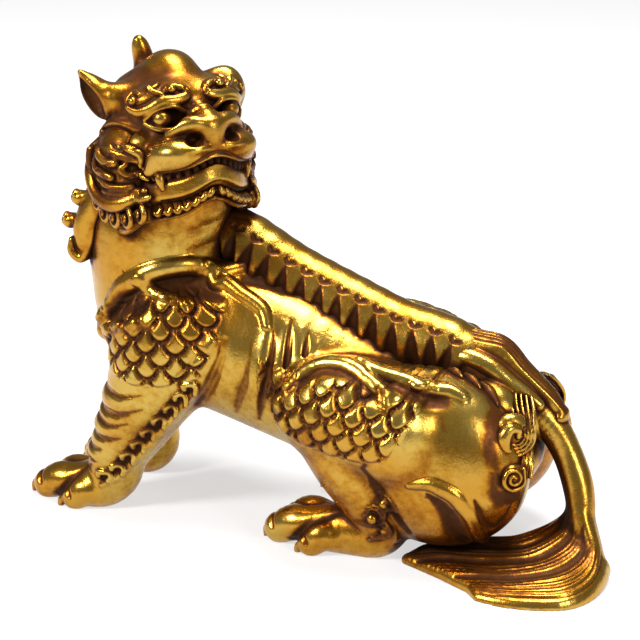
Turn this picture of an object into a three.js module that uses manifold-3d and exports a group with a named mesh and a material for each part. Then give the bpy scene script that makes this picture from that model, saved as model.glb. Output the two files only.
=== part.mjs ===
// A gilt bronze guardian beast (a diting), cast in one piece. It crouches on its haunches with straight
// forelegs and looks back over its left shoulder. Millimetres, +Z up. The beast's chest points to -X and its
// left flank to -Y. Every form is a lofted or turned geometry, and they are joined into one solid.
import * as THREE from 'three';
import { LoftGeometry } from 'three/addons/geometries/LoftGeometry.js';
import { mergeVertices } from 'three/addons/utils/BufferGeometryUtils.js';
import Module from 'manifold-3d';

const wasm = await Module();
wasm.setup();

// Driving dimensions
const SOLE_CUT = 0.8; // filed off under the feet, so that the casting stands flat
const LEFT = -1;
const RIGHT = 1;

// The trunk from the rump to the top of the neck: x, y, z and radius
const TRUNK = [
	[60, 0, 34, 13],
	[46, 0, 33, 23],
	[27, 0, 38, 23.5],
	[7, 0, 46.5, 24.5],
	[-14, -1, 55, 26],
	[-33, -2, 61, 26],
	[-47.5, -3, 67, 24.5],
	[-51, -3, 78, 23.5],
	[-51.5, -3, 91, 23.5],
	[-47, -5, 104, 19],
];

// The left foreleg and hind leg. The right hind leg is its mirror image, and the right foreleg steps further
// forward and closer in.
const FORELEG = [
	[-43, -14, 64, 18],
	[-45, -16, 53, 17.5],
	[-50, -18, 42, 14.5],
	[-56, -18.5, 30.5, 12],
	[-61.5, -19, 20, 9.8],
	[-64, -19, 11, 8.6],
	[-70, -19.5, 7, 8.2],
	[-78, -19.5, 6, 6.8],
];
const FORE_TOES = [
	[[-74, -16, 8.5], [-84.5, -14.5, 5], 5.6],
	[[-75, -20, 7], [-87, -20.5, 4.6], 6],
	[[-67, -23, 6.5], [-74.5, -25.5, 4.2], 5.4],
];
const RIGHT_FORELEG_STEP = { elbow: -8, paw: 2, inward: -9 };
const HAUNCH = { at: [43.5, -16, 33.5], radii: [30, 18, 27.5], pitch: 20 };
const THIGH = [
	[33, -22, 44, 18],
	[19, -25, 49, 16],
	[10, -26, 48, 13.5],
];
const SHIN = [
	[12.5, -25, 44, 12],
	[20, -24, 32, 12],
	[25, -22, 22, 10.5],
	[28.5, -20, 13, 9.5],
	[26, -20, 8, 8.8],
	[17, -21, 7.4, 8.2],
	[8, -22, 6.6, 7.2],
];
const HIND_TOES = [
	[[10, -18.5, 8.5], [-0.5, -16, 6], 5.8],
	[[8, -23, 7.5], [-4, -23, 4.8], 6],
	[[15, -25.5, 6.5], [8.5, -28, 4.2], 5.4],
];

const TAIL = [
	[56, 0, 50, 9],
	[67, 0, 48, 7],
	[75, -0.5, 43, 5.4],
	[80.5, -1, 35, 4.8],
	[84.5, -3, 26, 5],
	[87, -7, 17, 6],
	[88, -12, 10, 7],
];
// The tuft lies on the ground, swept forward along the left side: x, y, z, half width and half thickness
const TUFT = [
	[89.5, -15, 7, 12, 8],
	[83, -21, 6.5, 17, 7.8],
	[72, -25, 5.5, 18.5, 6.8],
	[58, -24.5, 4.2, 15, 5.4],
	[45, -22, 2.6, 8.5, 3.6],
	[34, -19, 1, 2, 1.6],
];
const TUFT_STRANDS = 7;

const CREST = [
	[-31, -1, 94],
	[-23, -1, 92],
	[-9, 0, 84],
	[11, 0, 76],
	[27, 0, 70],
	[43, 0, 67.5],
	[56, 0, 57.5],
	[64, 0, 48],
];
const CREST_HALF_WIDTH = 5.5;
const CREST_HEIGHT = 4.2;
const PLATES = 15;

// The head is modelled about its own centre: +X to the beast's right, +Y out of its nose, +Z up
const HEAD = { at: [-42.8, -11.2, 119], turn: 53, lift: 13 };
const SCALE_PITCH = 9.6;

// A closed geometry as a solid that can be joined and cut.
function solid(geometry) {
	const bare = geometry.index ? geometry.toNonIndexed() : geometry.clone();
	bare.deleteAttribute('normal');
	bare.deleteAttribute('uv');
	const merged = mergeVertices(bare, 1e-4);
	return new wasm.Manifold(new wasm.Mesh({
		numProp: 3,
		vertProperties: merged.attributes.position.array,
		triVerts: new Uint32Array(merged.index.array),
	}));
}

function join(solids) {
	return solids.reduce((whole, piece) => whole.add(piece));
}

function turned(pitch = 0, yaw = 0, roll = 0) {
	const angles = [roll, pitch, yaw].map(THREE.MathUtils.degToRad);
	return new THREE.Matrix4().makeRotationFromEuler(new THREE.Euler(...angles, 'ZYX'));
}

// An ellipsoid of muscle.
function lump(at, radii, { pitch = 0, yaw = 0, roll = 0, around = 9, rings = 6, frame = null } = {}) {
	const geometry = new THREE.SphereGeometry(1, around, rings);
	geometry.scale(...radii).applyMatrix4(turned(pitch, yaw, roll)).translate(...at);
	if (frame) geometry.applyMatrix4(frame);
	return solid(geometry);
}

// A loft through round or oval sections, closed by a dome at each end. A station is [x, y, z, radius] or
// [x, y, z, half width, half thickness], and the width runs across the curve and level with the ground.
function limb(stations, options = {}) {
	const { sides = 12, steps = 12, across = null, frame = null, ripple = null, dome = [0.6] } = options;
	const path = new THREE.CatmullRomCurve3(stations.map(([x, y, z]) => new THREE.Vector3(x, y, z)));
	const sizes = stations.map((s) => new THREE.Vector3(s[3], s[4] ?? s[3], 0));
	const sizeCurve = new THREE.CatmullRomCurve3(sizes);
	const rings = [];
	for (const share of dome) rings.push([0, share]);
	for (let i = 0; i <= steps; i++) rings.push([i / steps, 1]);
	for (const share of dome.toReversed()) rings.push([1, share]);
	const sections = rings.map(([t, share], index) => {
		const tangent = path.getTangent(t);
		const size = sizeCurve.getPoint(t).multiplyScalar(share);
		const reach = Math.sqrt(1 - share * share) * sizeCurve.getPoint(t).y * (index < steps ? -1 : 1);
		const centre = path.getPoint(t).addScaledVector(tangent, reach);
		const wide = across ? new THREE.Vector3(...across) : new THREE.Vector3(0, 1, 0);
		wide.addScaledVector(tangent, -wide.dot(tangent)).normalize();
		const high = new THREE.Vector3().crossVectors(tangent, wide);
		return Array.from({ length: sides }, (_, j) => {
			const angle = (j / sides) * 2 * Math.PI;
			const swell = ripple ? ripple(t, angle) : 1;
			return centre.clone()
				.addScaledVector(wide, Math.cos(angle) * size.x * swell)
				.addScaledVector(high, Math.sin(angle) * size.y * swell);
		});
	});
	const geometry = new LoftGeometry(sections, { capStart: true, capEnd: true });
	if (frame) geometry.applyMatrix4(frame);
	return solid(geometry);
}

// A straight tapered bar with domed ends, such as a toe or a lock of hair.
function taper(from, to, start, end, options = {}) {
	return limb([[...from, start], [...to, end]], { sides: 5, steps: 1, ...options });
}

// A curl of hair: a tapering roll wound into a spiral in the plane of two axes.
function curl(at, right, up, size, { turns = 1.25, thick = 0.34, hand = 1, frame = null } = {}) {
	const axes = [new THREE.Vector3(...right).normalize(), new THREE.Vector3(...up).normalize()];
	const points = 6;
	const stations = Array.from({ length: points }, (_, i) => {
		const share = i / (points - 1);
		const angle = share * turns * 2 * Math.PI * hand;
		const radius = size * (1 - 0.72 * share);
		const p = new THREE.Vector3(...at)
			.addScaledVector(axes[0], Math.cos(angle) * radius)
			.addScaledVector(axes[1], Math.sin(angle) * radius);
		return [p.x, p.y, p.z, size * thick * (1 - 0.25 * share)];
	});
	const facing = new THREE.Vector3().crossVectors(axes[0], axes[1]);
	return limb(stations, { sides: 3, steps: 7, across: facing.toArray(), frame, dome: [] });
}

function mirrored(point, side) {
	return [point[0], point[1] * -side, ...point.slice(2)];
}

function trunk() {
	return limb(TRUNK, { sides: 14, steps: 10 });
}

function foot(toes, side, forward = 0, inward = 0) {
	return toes.map(([from, to, radius]) => {
		const ends = [from, to].map((p) => [p[0] + forward, -side * p[1] + inward, p[2]]);
		return taper(ends[0], ends[1], radius, radius * 0.92);
	});
}

function foreleg(side) {
	const step = side === RIGHT ? RIGHT_FORELEG_STEP : { elbow: 0, paw: 0, inward: 0 };
	const stations = FORELEG.map((s, i) => {
		const [x, y, z, radius] = mirrored(s, side);
		const bend = Math.min(1, i / 3);
		const forward = i < 3 ? step.elbow * bend : step.elbow + (step.paw - step.elbow) * ((i - 3) / 4);
		return [x + forward, y + step.inward * bend, z, radius];
	});
	return join([limb(stations, { sides: 9, steps: 7 }), ...foot(FORE_TOES, side, step.paw, step.inward)]);
}

function hindLeg(side) {
	const at = mirrored(HAUNCH.at, side);
	return join([
		lump(at, HAUNCH.radii, { pitch: HAUNCH.pitch, around: 12, rings: 7 }),
		limb(THIGH.map((s) => mirrored(s, side)), { sides: 8, steps: 2 }),
		limb(SHIN.map((s) => mirrored(s, side)), { sides: 8, steps: 6 }),
		...foot(HIND_TOES, side),
	]);
}

function tail() {
	const strands = (t, angle) => 1 + 0.1 * Math.cos(angle * TUFT_STRANDS);
	return join([
		limb(TAIL, { sides: 7, steps: 7, dome: [] }),
		limb(TUFT, { sides: 21, steps: 6, ripple: strands }),
	]);
}

// The crest is a flat band along the spine with pointed plates hanging down both flanks.
function crest() {
	const path = new THREE.CatmullRomCurve3(CREST.map((p) => new THREE.Vector3(...p)));
	const band = limb(CREST.map((p) => [...p, CREST_HALF_WIDTH, CREST_HEIGHT]), { sides: 5, steps: 9 });
	const plates = [];
	for (let i = 0; i < PLATES; i++) {
		const t = (i + 1.2) / (PLATES + 1.2);
		const root = path.getPoint(t);
		for (const side of [LEFT, RIGHT]) {
			const from = [root.x - 1, side * 3.5, root.z];
			const to = [root.x + 2.5, side * 12.5, root.z - 6.5];
			plates.push(taper(from, to, 2.9, 1, { sides: 3, across: [1, 0, 0.4], dome: [] }));
		}
	}
	return join([band, ...plates]);
}

// Finds where a line from the flank's side, level with the ground, meets the skin.
function skinAt(skin, x, z, side) {
	const ray = new THREE.Raycaster(new THREE.Vector3(x, side * 90, z), new THREE.Vector3(0, -side, 0));
	return ray.intersectObject(skin)[0];
}

// Overlapping scales over an oval patch of the flank, in staggered rows that lap downwards.
function scales(skin, side, centre, reach, lean) {
	const found = [];
	const rows = Math.ceil(reach[1] / (SCALE_PITCH * 0.72));
	const columns = Math.ceil(reach[0] / SCALE_PITCH);
	for (let row = -rows; row <= rows; row++) {
		for (let column = -columns; column <= columns; column++) {
			const u = (column + (row & 1) * 0.5) * SCALE_PITCH;
			const v = row * SCALE_PITCH * 0.72;
			if ((u / reach[0]) ** 2 + (v / reach[1]) ** 2 > 1) continue;
			const angle = THREE.MathUtils.degToRad(lean);
			const x = centre[0] + u * Math.cos(angle) - v * Math.sin(angle);
			const z = centre[1] + u * Math.sin(angle) + v * Math.cos(angle);
			const hit = skinAt(skin, x, z, side);
			if (!hit || Math.abs(hit.face.normal.y) < 0.35) continue;
			const out = hit.face.normal;
			const down = new THREE.Vector3(Math.sin(angle), 0, -Math.cos(angle));
			down.addScaledVector(out, -down.dot(out)).normalize();
			const acrossway = new THREE.Vector3().crossVectors(down, out);
			const lapped = down.clone().addScaledVector(out, 0.24).normalize();
			const lifted = new THREE.Vector3().crossVectors(acrossway, lapped);
			const geometry = new THREE.SphereGeometry(1, 6, 2).rotateX(Math.PI / 2);
			geometry.scale(SCALE_PITCH * 0.55, SCALE_PITCH * 0.6, 1.7);
			geometry.applyMatrix4(new THREE.Matrix4().makeBasis(acrossway, lapped, lifted));
			geometry.translate(hit.point.x, hit.point.y, hit.point.z);
			found.push(solid(geometry));
		}
	}
	return join(found);
}

// Grooves between the ribs, cut along the flank.
function ribGrooves(skin, side) {
	const grooves = [];
	for (const x of [-24, -17.5, -11]) {
		const stations = [70, 60, 50, 40].map((z, i) => {
			const hit = skinAt(skin, x - i * 0.8, z, side);
			return [hit.point.x, hit.point.y, hit.point.z, 0.7 + 0.5 * Math.sin((i + 1) * 0.75)];
		});
		grooves.push(limb(stations, { sides: 4, steps: 3, across: [1, 0, 0], dome: [] }));
	}
	return join(grooves);
}

// A raised ribbon of hair along the top of a shoulder or haunch.
function ribbon(skin, side, points, width) {
	const stations = points.map(([x, z], i) => {
		const hit = skinAt(skin, x, z, side);
		hit.point.addScaledVector(hit.face.normal, 0.5);
		const slim = i === 0 || i === points.length - 1 ? 0.6 : 1;
		return [hit.point.x, hit.point.y, hit.point.z, width * slim];
	});
	return limb(stations, { sides: 3, steps: points.length, dome: [] });
}

function headFrame() {
	const turn = THREE.MathUtils.degToRad(HEAD.turn);
	const lift = THREE.MathUtils.degToRad(HEAD.lift);
	const level = new THREE.Vector3(Math.sin(turn), -Math.cos(turn), 0);
	const right = new THREE.Vector3().crossVectors(level, new THREE.Vector3(0, 0, 1));
	const forward = level.clone().multiplyScalar(Math.cos(lift)).add(new THREE.Vector3(0, 0, Math.sin(lift)));
	const up = new THREE.Vector3().crossVectors(right, forward);
	return new THREE.Matrix4().makeBasis(right, forward, up).setPosition(...HEAD.at);
}

function face(frame) {
	const pieces = [
		lump([0, -1, 5.5], [17.5, 17.5, 16], { around: 10, rings: 6, frame }), // skull
		lump([0, 9.5, 15], [14.5, 9.5, 8.5], { around: 10, rings: 6, frame }), // forehead
		lump([0.5, 3, 24.5], [7.5, 8.5, 6.5], { frame }), // crown
		limb([[0, -12, 20, 6.5], [0.5, -12.5, 28, 4.6], [2, -12, 34, 2.6]], // horn
			{ sides: 7, steps: 2, frame, dome: [0.7] }),
		lump([0, 11, 5], [14.5, 12, 11], { frame }), // middle of the face
		lump([-0.5, 13.5, -1], [16.5, 15, 9.5], { around: 10, rings: 6, frame }), // muzzle
		lump([0, 21.5, 6], [11.5, 8, 5], { around: 8, rings: 5, frame }), // nose
		lump([-0.5, 13, -11], [17, 14, 6.5], { around: 10, rings: 5, frame }), // jaw
	];
	for (const side of [LEFT, RIGHT]) {
		pieces.push(
			lump([side * 16.5, -5, -3.5], [9.5, 13.5, 17], { around: 8, rings: 6, frame }), // cheek
			lump([side * 9, 20, -0.5], [8, 8.5, 6], { around: 7, rings: 5, frame }), // whisker pad
			lump([side * 9.6, 18.5, 10.8], [3.8, 4, 3.6], { around: 6, rings: 4, frame }), // eye
			limb([[side * 2.5, 20.5, 14, 2.2], [side * 8.5, 20.5, 16.5, 3], [side * 15, 14.5, 14.5, 3.2]], // brow
				{ sides: 5, steps: 3, frame, dome: [] }),
			curl([side * 13, 16.5, 17.5], [side, 0, 0], [0, 0, 1], 3.6, { hand: 1, frame }),
			ear(side, frame),
		);
	}
	return join(pieces).subtract(faceHollows(frame)).add(teeth(frame));
}

// A short pointed ear, wide at the root and hollowed on the side that faces out.
function ear(side, frame) {
	const wide = new THREE.Vector3(side * 0.14, 0.56, 0.81);
	const outward = new THREE.Vector3(side * 0.83, 0.3, -0.35);
	const stations = [
		[side * 14, 2.5, 14, 10.5, 4.5],
		[side * 20, -2.5, 19.5, 8.5, 3.4],
		[side * 25, -7.5, 26, 1.2, 1],
	];
	const shell = limb(stations, { sides: 7, steps: 3, across: wide.toArray(), frame, dome: [] });
	const bowl = new THREE.SphereGeometry(1, 7, 5).scale(4.6, 6, 2.6);
	const along = new THREE.Vector3().crossVectors(outward, wide).normalize();
	const inward = outward.clone().cross(wide).cross(wide).negate();
	bowl.applyMatrix4(new THREE.Matrix4().makeBasis(wide, along, inward));
	bowl.translate(...new THREE.Vector3(side * 19.5, -2, 18).addScaledVector(outward, 2.6));
	return shell.subtract(solid(bowl.applyMatrix4(frame)));
}

// Height of the line between the lips: it arches up under the nose.
function mouthLine(x) {
	return -2.8 - 0.018 * x * x;
}

function faceHollows(frame) {
	const hollows = [];
	for (const side of [LEFT, RIGHT]) {
		hollows.push(lump([side * 5.8, 28.5, 5.4], [3, 4, 2.3], { around: 6, rings: 4, frame })); // nostril
	}
	const gap = [-15, -8, 0, 8, 15].map((x) => [x, 27 - 0.035 * x * x, mouthLine(x), 5, 1.5]);
	hollows.push(limb(gap, { sides: 6, steps: 6, across: [0, 1, 0], frame, dome: [] }));
	return join(hollows);
}

function teeth(frame) {
	const row = [];
	for (let x = -9; x <= 9.1; x += 4.5) {
		const box = new THREE.BoxGeometry(3.8, 2.4, 3.8);
		box.rotateZ(-0.055 * x).translate(x, 24.8 - 0.045 * x * x, mouthLine(x));
		row.push(solid(box.applyMatrix4(frame)));
	}
	for (const x of [-12.6, 12.6]) {
		row.push(taper([x, 18, -2.5], [x, 19.5, -9.5], 2.2, 0.8, { frame, sides: 4, dome: [] })); // fang
	}
	return join(row);
}

// Locks of the mane: rows of curls round the back of the head and the cheeks, and a fringe under the jaw.
function mane(frame) {
	const locks = [lump([0, -13, -3], [17, 12, 18], { frame })];
	for (const side of [LEFT, RIGHT]) {
		for (let i = 0; i < 3; i++) {
			const along = [side * (21 - i * 1.6), -3 - i * 6.5, -17 + i * 3];
			locks.push(curl(along, [0, 1, 0], [0, 0, 1], 5, { hand: -1, frame }));
			const above = [side * (21 - i * 3), -7 - i * 4.5, -4 + i * 4.5];
			locks.push(curl(above, [0, 1, 0], [0, 0, 1], 4.6, { frame }));
		}
		for (let i = 0; i < 4; i++) {
			const x = side * (2.4 + i * 3.3);
			const ends = [[x, 22.5 - i * 1.8, -11], [x + side, 20.5 - i * 2, -18]];
			locks.push(taper(...ends, 2.3, 1, { frame, sides: 4, dome: [] }));
		}
	}
	return join(locks);
}

// Three heavy locks that hang behind the neck.
function napeLocks() {
	const locks = [];
	for (let i = 0; i < 3; i++) {
		const y = 2 - 9 * i;
		locks.push(limb([[-64 - i, y, 110, 5], [-69 - i, y, 101, 6], [-72, y, 93, 6], [-72, y, 86, 3.5]],
			{ sides: 5, steps: 4 }));
		locks.push(curl([-75.5, y, 93 + 2 * i], [1, 0, 0], [0, 0, 1], 5, {}));
	}
	return join(locks);
}

// Combed locks over the rump that end in two curls beside the tail.
function rumpLocks() {
	const locks = [];
	for (const side of [LEFT, RIGHT]) {
		const middle = [
			[44, side * 4, 61, 4],
			[56, side * 6, 54, 5],
			[65, side * 5, 45.5, 4.5],
			[71, side * 3, 40, 3],
		];
		const outer = [
			[53, side * 8, 56, 4.5],
			[62, side * 11, 50.5, 5],
			[68.5, side * 13.5, 44, 4.5],
			[70, side * 17, 37, 3],
		];
		locks.push(limb(middle, { sides: 5, steps: 4, dome: [] }));
		locks.push(limb(outer, { sides: 5, steps: 4, dome: [] }));
		locks.push(curl([64.5, side * 17, 46], [1, side * -0.6, 0], [0, 0, 1], 6, { hand: -1 }));
		locks.push(curl([67, side * 22, 35.5], [1, side * -0.8, 0], [0, 0, 1], 4.6, { hand: -1 }));
	}
	return join(locks);
}

function statue() {
	const frame = headFrame();
	const body = join([trunk(), foreleg(LEFT), foreleg(RIGHT), hindLeg(LEFT), hindLeg(RIGHT)]);
	const skin = meshOf(body);
	let whole = body;
	for (const side of [LEFT, RIGHT]) {
		whole = whole.subtract(ribGrooves(skin, side))
			.add(scales(skin, side, [-44, 55], [17, 16], 0))
			.add(ribbon(skin, side, [[-64, 58], [-61, 70], [-50, 78], [-38, 76], [-26, 78], [-16, 72]], 1.8))
			.add(ribbon(skin, side, [[-48, 77.5], [-43, 69], [-37, 67]], 1.6))
			.add(ribbon(skin, side, [[2, 50], [8, 59], [18, 61], [25, 55], [34, 56], [46, 54]], 1.7));
		if (side === LEFT) whole = whole.add(scales(skin, side, [20, 45], [15, 11], 15));
	}
	whole = join([whole, tail(), crest(), rumpLocks(), napeLocks(), face(frame), mane(frame)]);
	const ground = new THREE.BoxGeometry(400, 400, 100).translate(0, 0, SOLE_CUT - 50);
	return filled(whole.subtract(solid(ground)));
}

// Plugs the pockets that are sealed in where locks of hair cross.
function filled(made) {
	const { vertProperties, triVerts } = made.getMesh();
	const owner = Array.from({ length: vertProperties.length / 3 }, (_, i) => i);
	const ownerOf = (i) => {
		while (owner[i] !== i) i = owner[i] = owner[owner[i]];
		return i;
	};
	for (let i = 0; i < triVerts.length; i += 3) {
		owner[ownerOf(triVerts[i])] = ownerOf(triVerts[i + 1]);
		owner[ownerOf(triVerts[i + 1])] = ownerOf(triVerts[i + 2]);
	}
	const shells = new Map();
	for (let i = 0; i < triVerts.length; i += 3) {
		const corners = [0, 1, 2].map((k) => new THREE.Vector3().fromArray(vertProperties, 3 * triVerts[i + k]));
		const key = ownerOf(triVerts[i]);
		const shell = shells.get(key) ?? { volume: 0, box: new THREE.Box3() };
		shell.volume += corners[0].dot(corners[1].clone().cross(corners[2])) / 6;
		corners.forEach((corner) => shell.box.expandByPoint(corner));
		shells.set(key, shell);
	}
	const pockets = [...shells.values()].filter((shell) => shell.volume < 0);
	return pockets.reduce((whole, { box }) => {
		const size = box.getSize(new THREE.Vector3()).addScalar(0.4);
		const plug = new THREE.BoxGeometry(...size).translate(...box.getCenter(new THREE.Vector3()));
		return whole.add(solid(plug));
	}, made);
}

function meshOf(made) {
	const { vertProperties, triVerts } = made.getMesh();
	const geometry = new THREE.BufferGeometry();
	geometry.setAttribute('position', new THREE.BufferAttribute(vertProperties, 3));
	geometry.setIndex(new THREE.BufferAttribute(triVerts, 1));
	geometry.computeBoundingSphere();
	return new THREE.Mesh(geometry, new THREE.MeshStandardMaterial({ side: THREE.DoubleSide }));
}

const part = new THREE.Group();
const mesh = meshOf(statue());
mesh.name = 'statue';
mesh.material = new THREE.MeshStandardMaterial({ color: 0xc08a24, roughness: 0.3, metalness: 1 });
const middle = new THREE.Box3().setFromObject(mesh).getCenter(new THREE.Vector3());
mesh.position.set(-middle.x, -middle.y, -SOLE_CUT); // the middle of the footprint is the origin
part.add(mesh);

export default part;
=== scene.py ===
# A gilt bronze guardian beast that crouches and looks back over its shoulder, after a cast figure of East
# Asia. It is built as a founder builds it: each part of the body is modelled in wax, its skin is taken as a
# closed mesh, and the whole is gilded and toned at the end. Wax is worked in millimetres, the chest to -X.
import math

import bmesh
import bpy
import numpy as np
import openvdb
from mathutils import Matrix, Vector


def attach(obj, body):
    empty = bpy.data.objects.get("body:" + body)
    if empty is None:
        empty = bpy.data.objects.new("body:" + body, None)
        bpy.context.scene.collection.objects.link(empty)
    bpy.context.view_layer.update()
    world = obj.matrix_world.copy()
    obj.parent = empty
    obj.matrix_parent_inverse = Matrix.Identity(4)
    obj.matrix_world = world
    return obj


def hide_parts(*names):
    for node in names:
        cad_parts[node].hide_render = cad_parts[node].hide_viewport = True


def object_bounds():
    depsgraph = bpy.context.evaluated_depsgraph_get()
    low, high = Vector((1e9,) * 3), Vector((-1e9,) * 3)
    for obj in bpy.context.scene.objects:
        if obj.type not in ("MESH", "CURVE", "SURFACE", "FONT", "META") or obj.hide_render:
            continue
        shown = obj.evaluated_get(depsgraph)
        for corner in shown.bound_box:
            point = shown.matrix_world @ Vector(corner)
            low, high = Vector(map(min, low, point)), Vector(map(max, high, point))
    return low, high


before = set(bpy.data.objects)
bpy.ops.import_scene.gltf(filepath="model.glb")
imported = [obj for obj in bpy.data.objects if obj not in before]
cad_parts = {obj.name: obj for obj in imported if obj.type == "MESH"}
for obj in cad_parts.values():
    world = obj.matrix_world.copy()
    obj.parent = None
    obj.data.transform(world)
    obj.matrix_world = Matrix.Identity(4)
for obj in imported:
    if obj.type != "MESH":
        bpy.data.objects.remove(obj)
cad_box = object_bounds()

# The trunk: one heavy barrel from the rump to the top of the neck, in bronze, cast hollow with the rest.
# It is laid up as a thick roll of wax with a deep chest. The limbs are pressed onto it, and then the folds.
FAR = 9.0
SKIN_BAND = 3.0
SOLE_CUT = 0.8
STATUE_CORNER = np.array([-91.985, -42.611, SOLE_CUT])
SHIFT = np.array(cad_box[0]) * 1000 - STATUE_CORNER
SIDES = (-1, 1)


def smooth_line(points, steps=5):
    """Points on a smooth curve through the given ones, with whatever sizes they carry."""
    points = np.array(points, float)
    if len(points) == 2:
        share = np.linspace(0, 1, steps + 1)[:, None]
        return points[0] * (1 - share) + points[1] * share
    ends = np.vstack([2 * points[0] - points[1], points, 2 * points[-1] - points[-2]])
    line = []
    for i in range(len(points) - 1):
        a, b, c, d = ends[i : i + 4]
        for step in range(steps):
            u = step / steps
            line.append(0.5 * (2 * b + (c - a) * u + (2 * a - 5 * b + 4 * c - d) * u**2
                               + (3 * b - a - 3 * c + d) * u**3))
    line.append(points[-1])
    return np.array(line)


def turned(pitch=0, yaw=0):
    """Axes turned by degrees: pitch about Y, then yaw about Z."""
    p, y = math.radians(pitch), math.radians(yaw)
    about_y = np.array([[math.cos(p), 0, math.sin(p)], [0, 1, 0], [-math.sin(p), 0, math.cos(p)]])
    about_z = np.array([[math.cos(y), -math.sin(y), 0], [math.sin(y), math.cos(y), 0], [0, 0, 1]])
    return about_z @ about_y


def side_of(points, side):
    """Points given for the beast's left, where Y is negative, laid on its left, -1, or its right, 1."""
    return [(p[0], -side * p[1], *p[2:]) for p in points]


class Wax:
    """A block of modelling wax, kept as the distance to its skin at every grain of a lattice."""

    def __init__(self, low, high, grain, seat=None):
        self.low = np.array(low, float)
        self.grain = grain
        self.seat = seat or (np.eye(3), np.zeros(3))
        counts = np.ceil((np.array(high) - self.low) / grain).astype(int) + 1
        self.axes = [(self.low[i] + grain * np.arange(counts[i])).astype(np.float32) for i in range(3)]
        self.skin = np.full(counts, FAR, np.float32)
        self.stains = []
        self.ink = None

    def window(self, low, high):
        """The slices of the block between two corners, and the coordinates in them."""
        slices, coords = [], []
        for i in range(3):
            first = min(max(0, int((low[i] - self.low[i]) / self.grain)), len(self.axes[i]) - 1)
            last = max(first + 1, min(len(self.axes[i]), int((high[i] - self.low[i]) / self.grain) + 2))
            slices.append(slice(first, last))
            shape = [1, 1, 1]
            shape[i] = -1
            coords.append(self.axes[i][first:last].reshape(shape))
        return tuple(slices), coords

    def add(self, slices, distance, melt):
        """Presses new wax on, and melts the joint over a width."""
        old = self.skin[slices]
        blend = np.clip(0.5 + 0.5 * (old - distance) / max(melt, 1e-3), 0, 1)
        self.skin[slices] = old + (distance - old) * blend - melt * blend * (1 - blend)

    def cut(self, slices, distance, melt):
        """Cuts wax away where the distance is negative."""
        old = -self.skin[slices]
        blend = np.clip(0.5 + 0.5 * (old - distance) / max(melt, 1e-3), 0, 1)
        self.skin[slices] = -(old + (distance - old) * blend - melt * blend * (1 - blend))

    def egg(self, centre, radii, axes=None, melt=3.0, hollow=False):
        """An egg-shaped lump, or a hollow of that shape."""
        reach = max(radii) + 5
        slices, coords = self.window([c - reach for c in centre], [c + reach for c in centre])
        local = [c - np.float32(v) for c, v in zip(coords, centre)]
        if axes is not None:
            local = [sum(np.float32(axes[j][i]) * local[j] for j in range(3)) for i in range(3)]
        near = np.sqrt(sum((q / np.float32(r)) ** 2 for q, r in zip(local, radii)))
        steep = np.sqrt(sum((q / np.float32(r * r)) ** 2 for q, r in zip(local, radii)))
        distance = near * (near - 1) / np.maximum(steep, 1e-5)
        (self.cut if hollow else self.add)(slices, distance, melt)

    def along(self, line, reach, flat=None):
        """Distance to the skin of a rod along a line of x, y, z and radius, in a window around it.
        A flat rod is squeezed along a direction to a share of its radius."""
        line = np.array(line, float)
        wide = line[:, 3].max() + reach
        slices, _ = self.window(line[:, :3].min(0) - wide, line[:, :3].max(0) + wide)
        found = np.full([s.stop - s.start for s in slices], FAR, np.float32)
        for a, b in zip(line[:-1], line[1:]):
            wide = max(a[3], b[3]) + reach
            part, coords = self.window(np.minimum(a, b)[:3] - wide, np.maximum(a, b)[:3] + wide)
            inner = tuple(slice(p.start - s.start, p.stop - s.start) for p, s in zip(part, slices))
            step = (b - a)[:3].astype(np.float32)
            local = [c - np.float32(v) for c, v in zip(coords, a)]
            share = sum(q * s for q, s in zip(local, step)) / max(float(step @ step), 1e-6)
            share = np.clip(share, 0, 1)
            off = [q - share * s for q, s in zip(local, step)]
            if flat is not None:
                direction, squeeze = flat
                lean = sum(q * np.float32(d) for q, d in zip(off, direction)) * np.float32(1 / squeeze - 1)
                off = [q + lean * np.float32(d) for q, d in zip(off, direction)]
            distance = np.sqrt(sum(q * q for q in off)) - (a[3] + (b[3] - a[3]) * share)
            found[inner] = np.minimum(found[inner], distance)
        return slices, found

    def roll(self, points, melt=1.0, steps=5, hollow=False):
        """A roll of wax, or a channel, along a smooth curve through points of x, y, z and radius."""
        slices, distance = self.along(smooth_line(points, steps), melt + 1.5)
        (self.cut if hollow else self.add)(slices, distance, melt)

    def sample(self, points, field=None, outside=FAR):
        """The distance to the skin at points, or another field, read between the grains."""
        field = self.skin if field is None else field
        where = (points - self.low) / self.grain
        top = np.array(self.skin.shape) - 1.001
        inside = np.all((where >= 0) & (where <= top), axis=1)
        where = np.clip(where, 0, top)
        base = where.astype(int)
        share = (where - base).astype(np.float32)
        total = np.zeros(len(points), np.float32)
        for corner in range(8):
            step = np.array([corner & 1, (corner >> 1) & 1, corner >> 2])
            weight = np.prod(np.where(step, share, 1 - share), axis=1)
            total += weight * field[tuple((base + step).T)]
        return np.where(inside, total, outside)

    def settle(self, points, sunk=0.0):
        """Moves points straight onto the skin, or sunk below it. Their radii stay."""
        points = np.array(points, float)
        place = points[:, :3].copy()
        for _ in range(6):
            here = self.sample(place)
            slope = np.stack([self.sample(place + d) - self.sample(place - d) for d in np.eye(3) * 0.7], 1)
            slope /= np.maximum(np.linalg.norm(slope, axis=1), 1e-4)[:, None]
            place -= slope * np.clip(here + sunk, -3, 3)[:, None]
        points[:, :3] = place
        return points

    def score(self, points, depth, steps=6, settle=True):
        """A groove drawn in the skin with a round tool. Its radius is half the groove's width, and it is
        shallower where it is narrower. A negative depth raises a swelling."""
        line = smooth_line(points, steps)
        if settle:
            line = self.settle(line)
        wide = line[:, 3].max()
        line[:, 3] = 2 * (line[:, 3] - wide)
        slices, distance = self.along(line, wide * 4.5)
        self.skin[slices] += depth * np.exp(-np.minimum(distance / wide, 6) ** 2)

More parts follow.
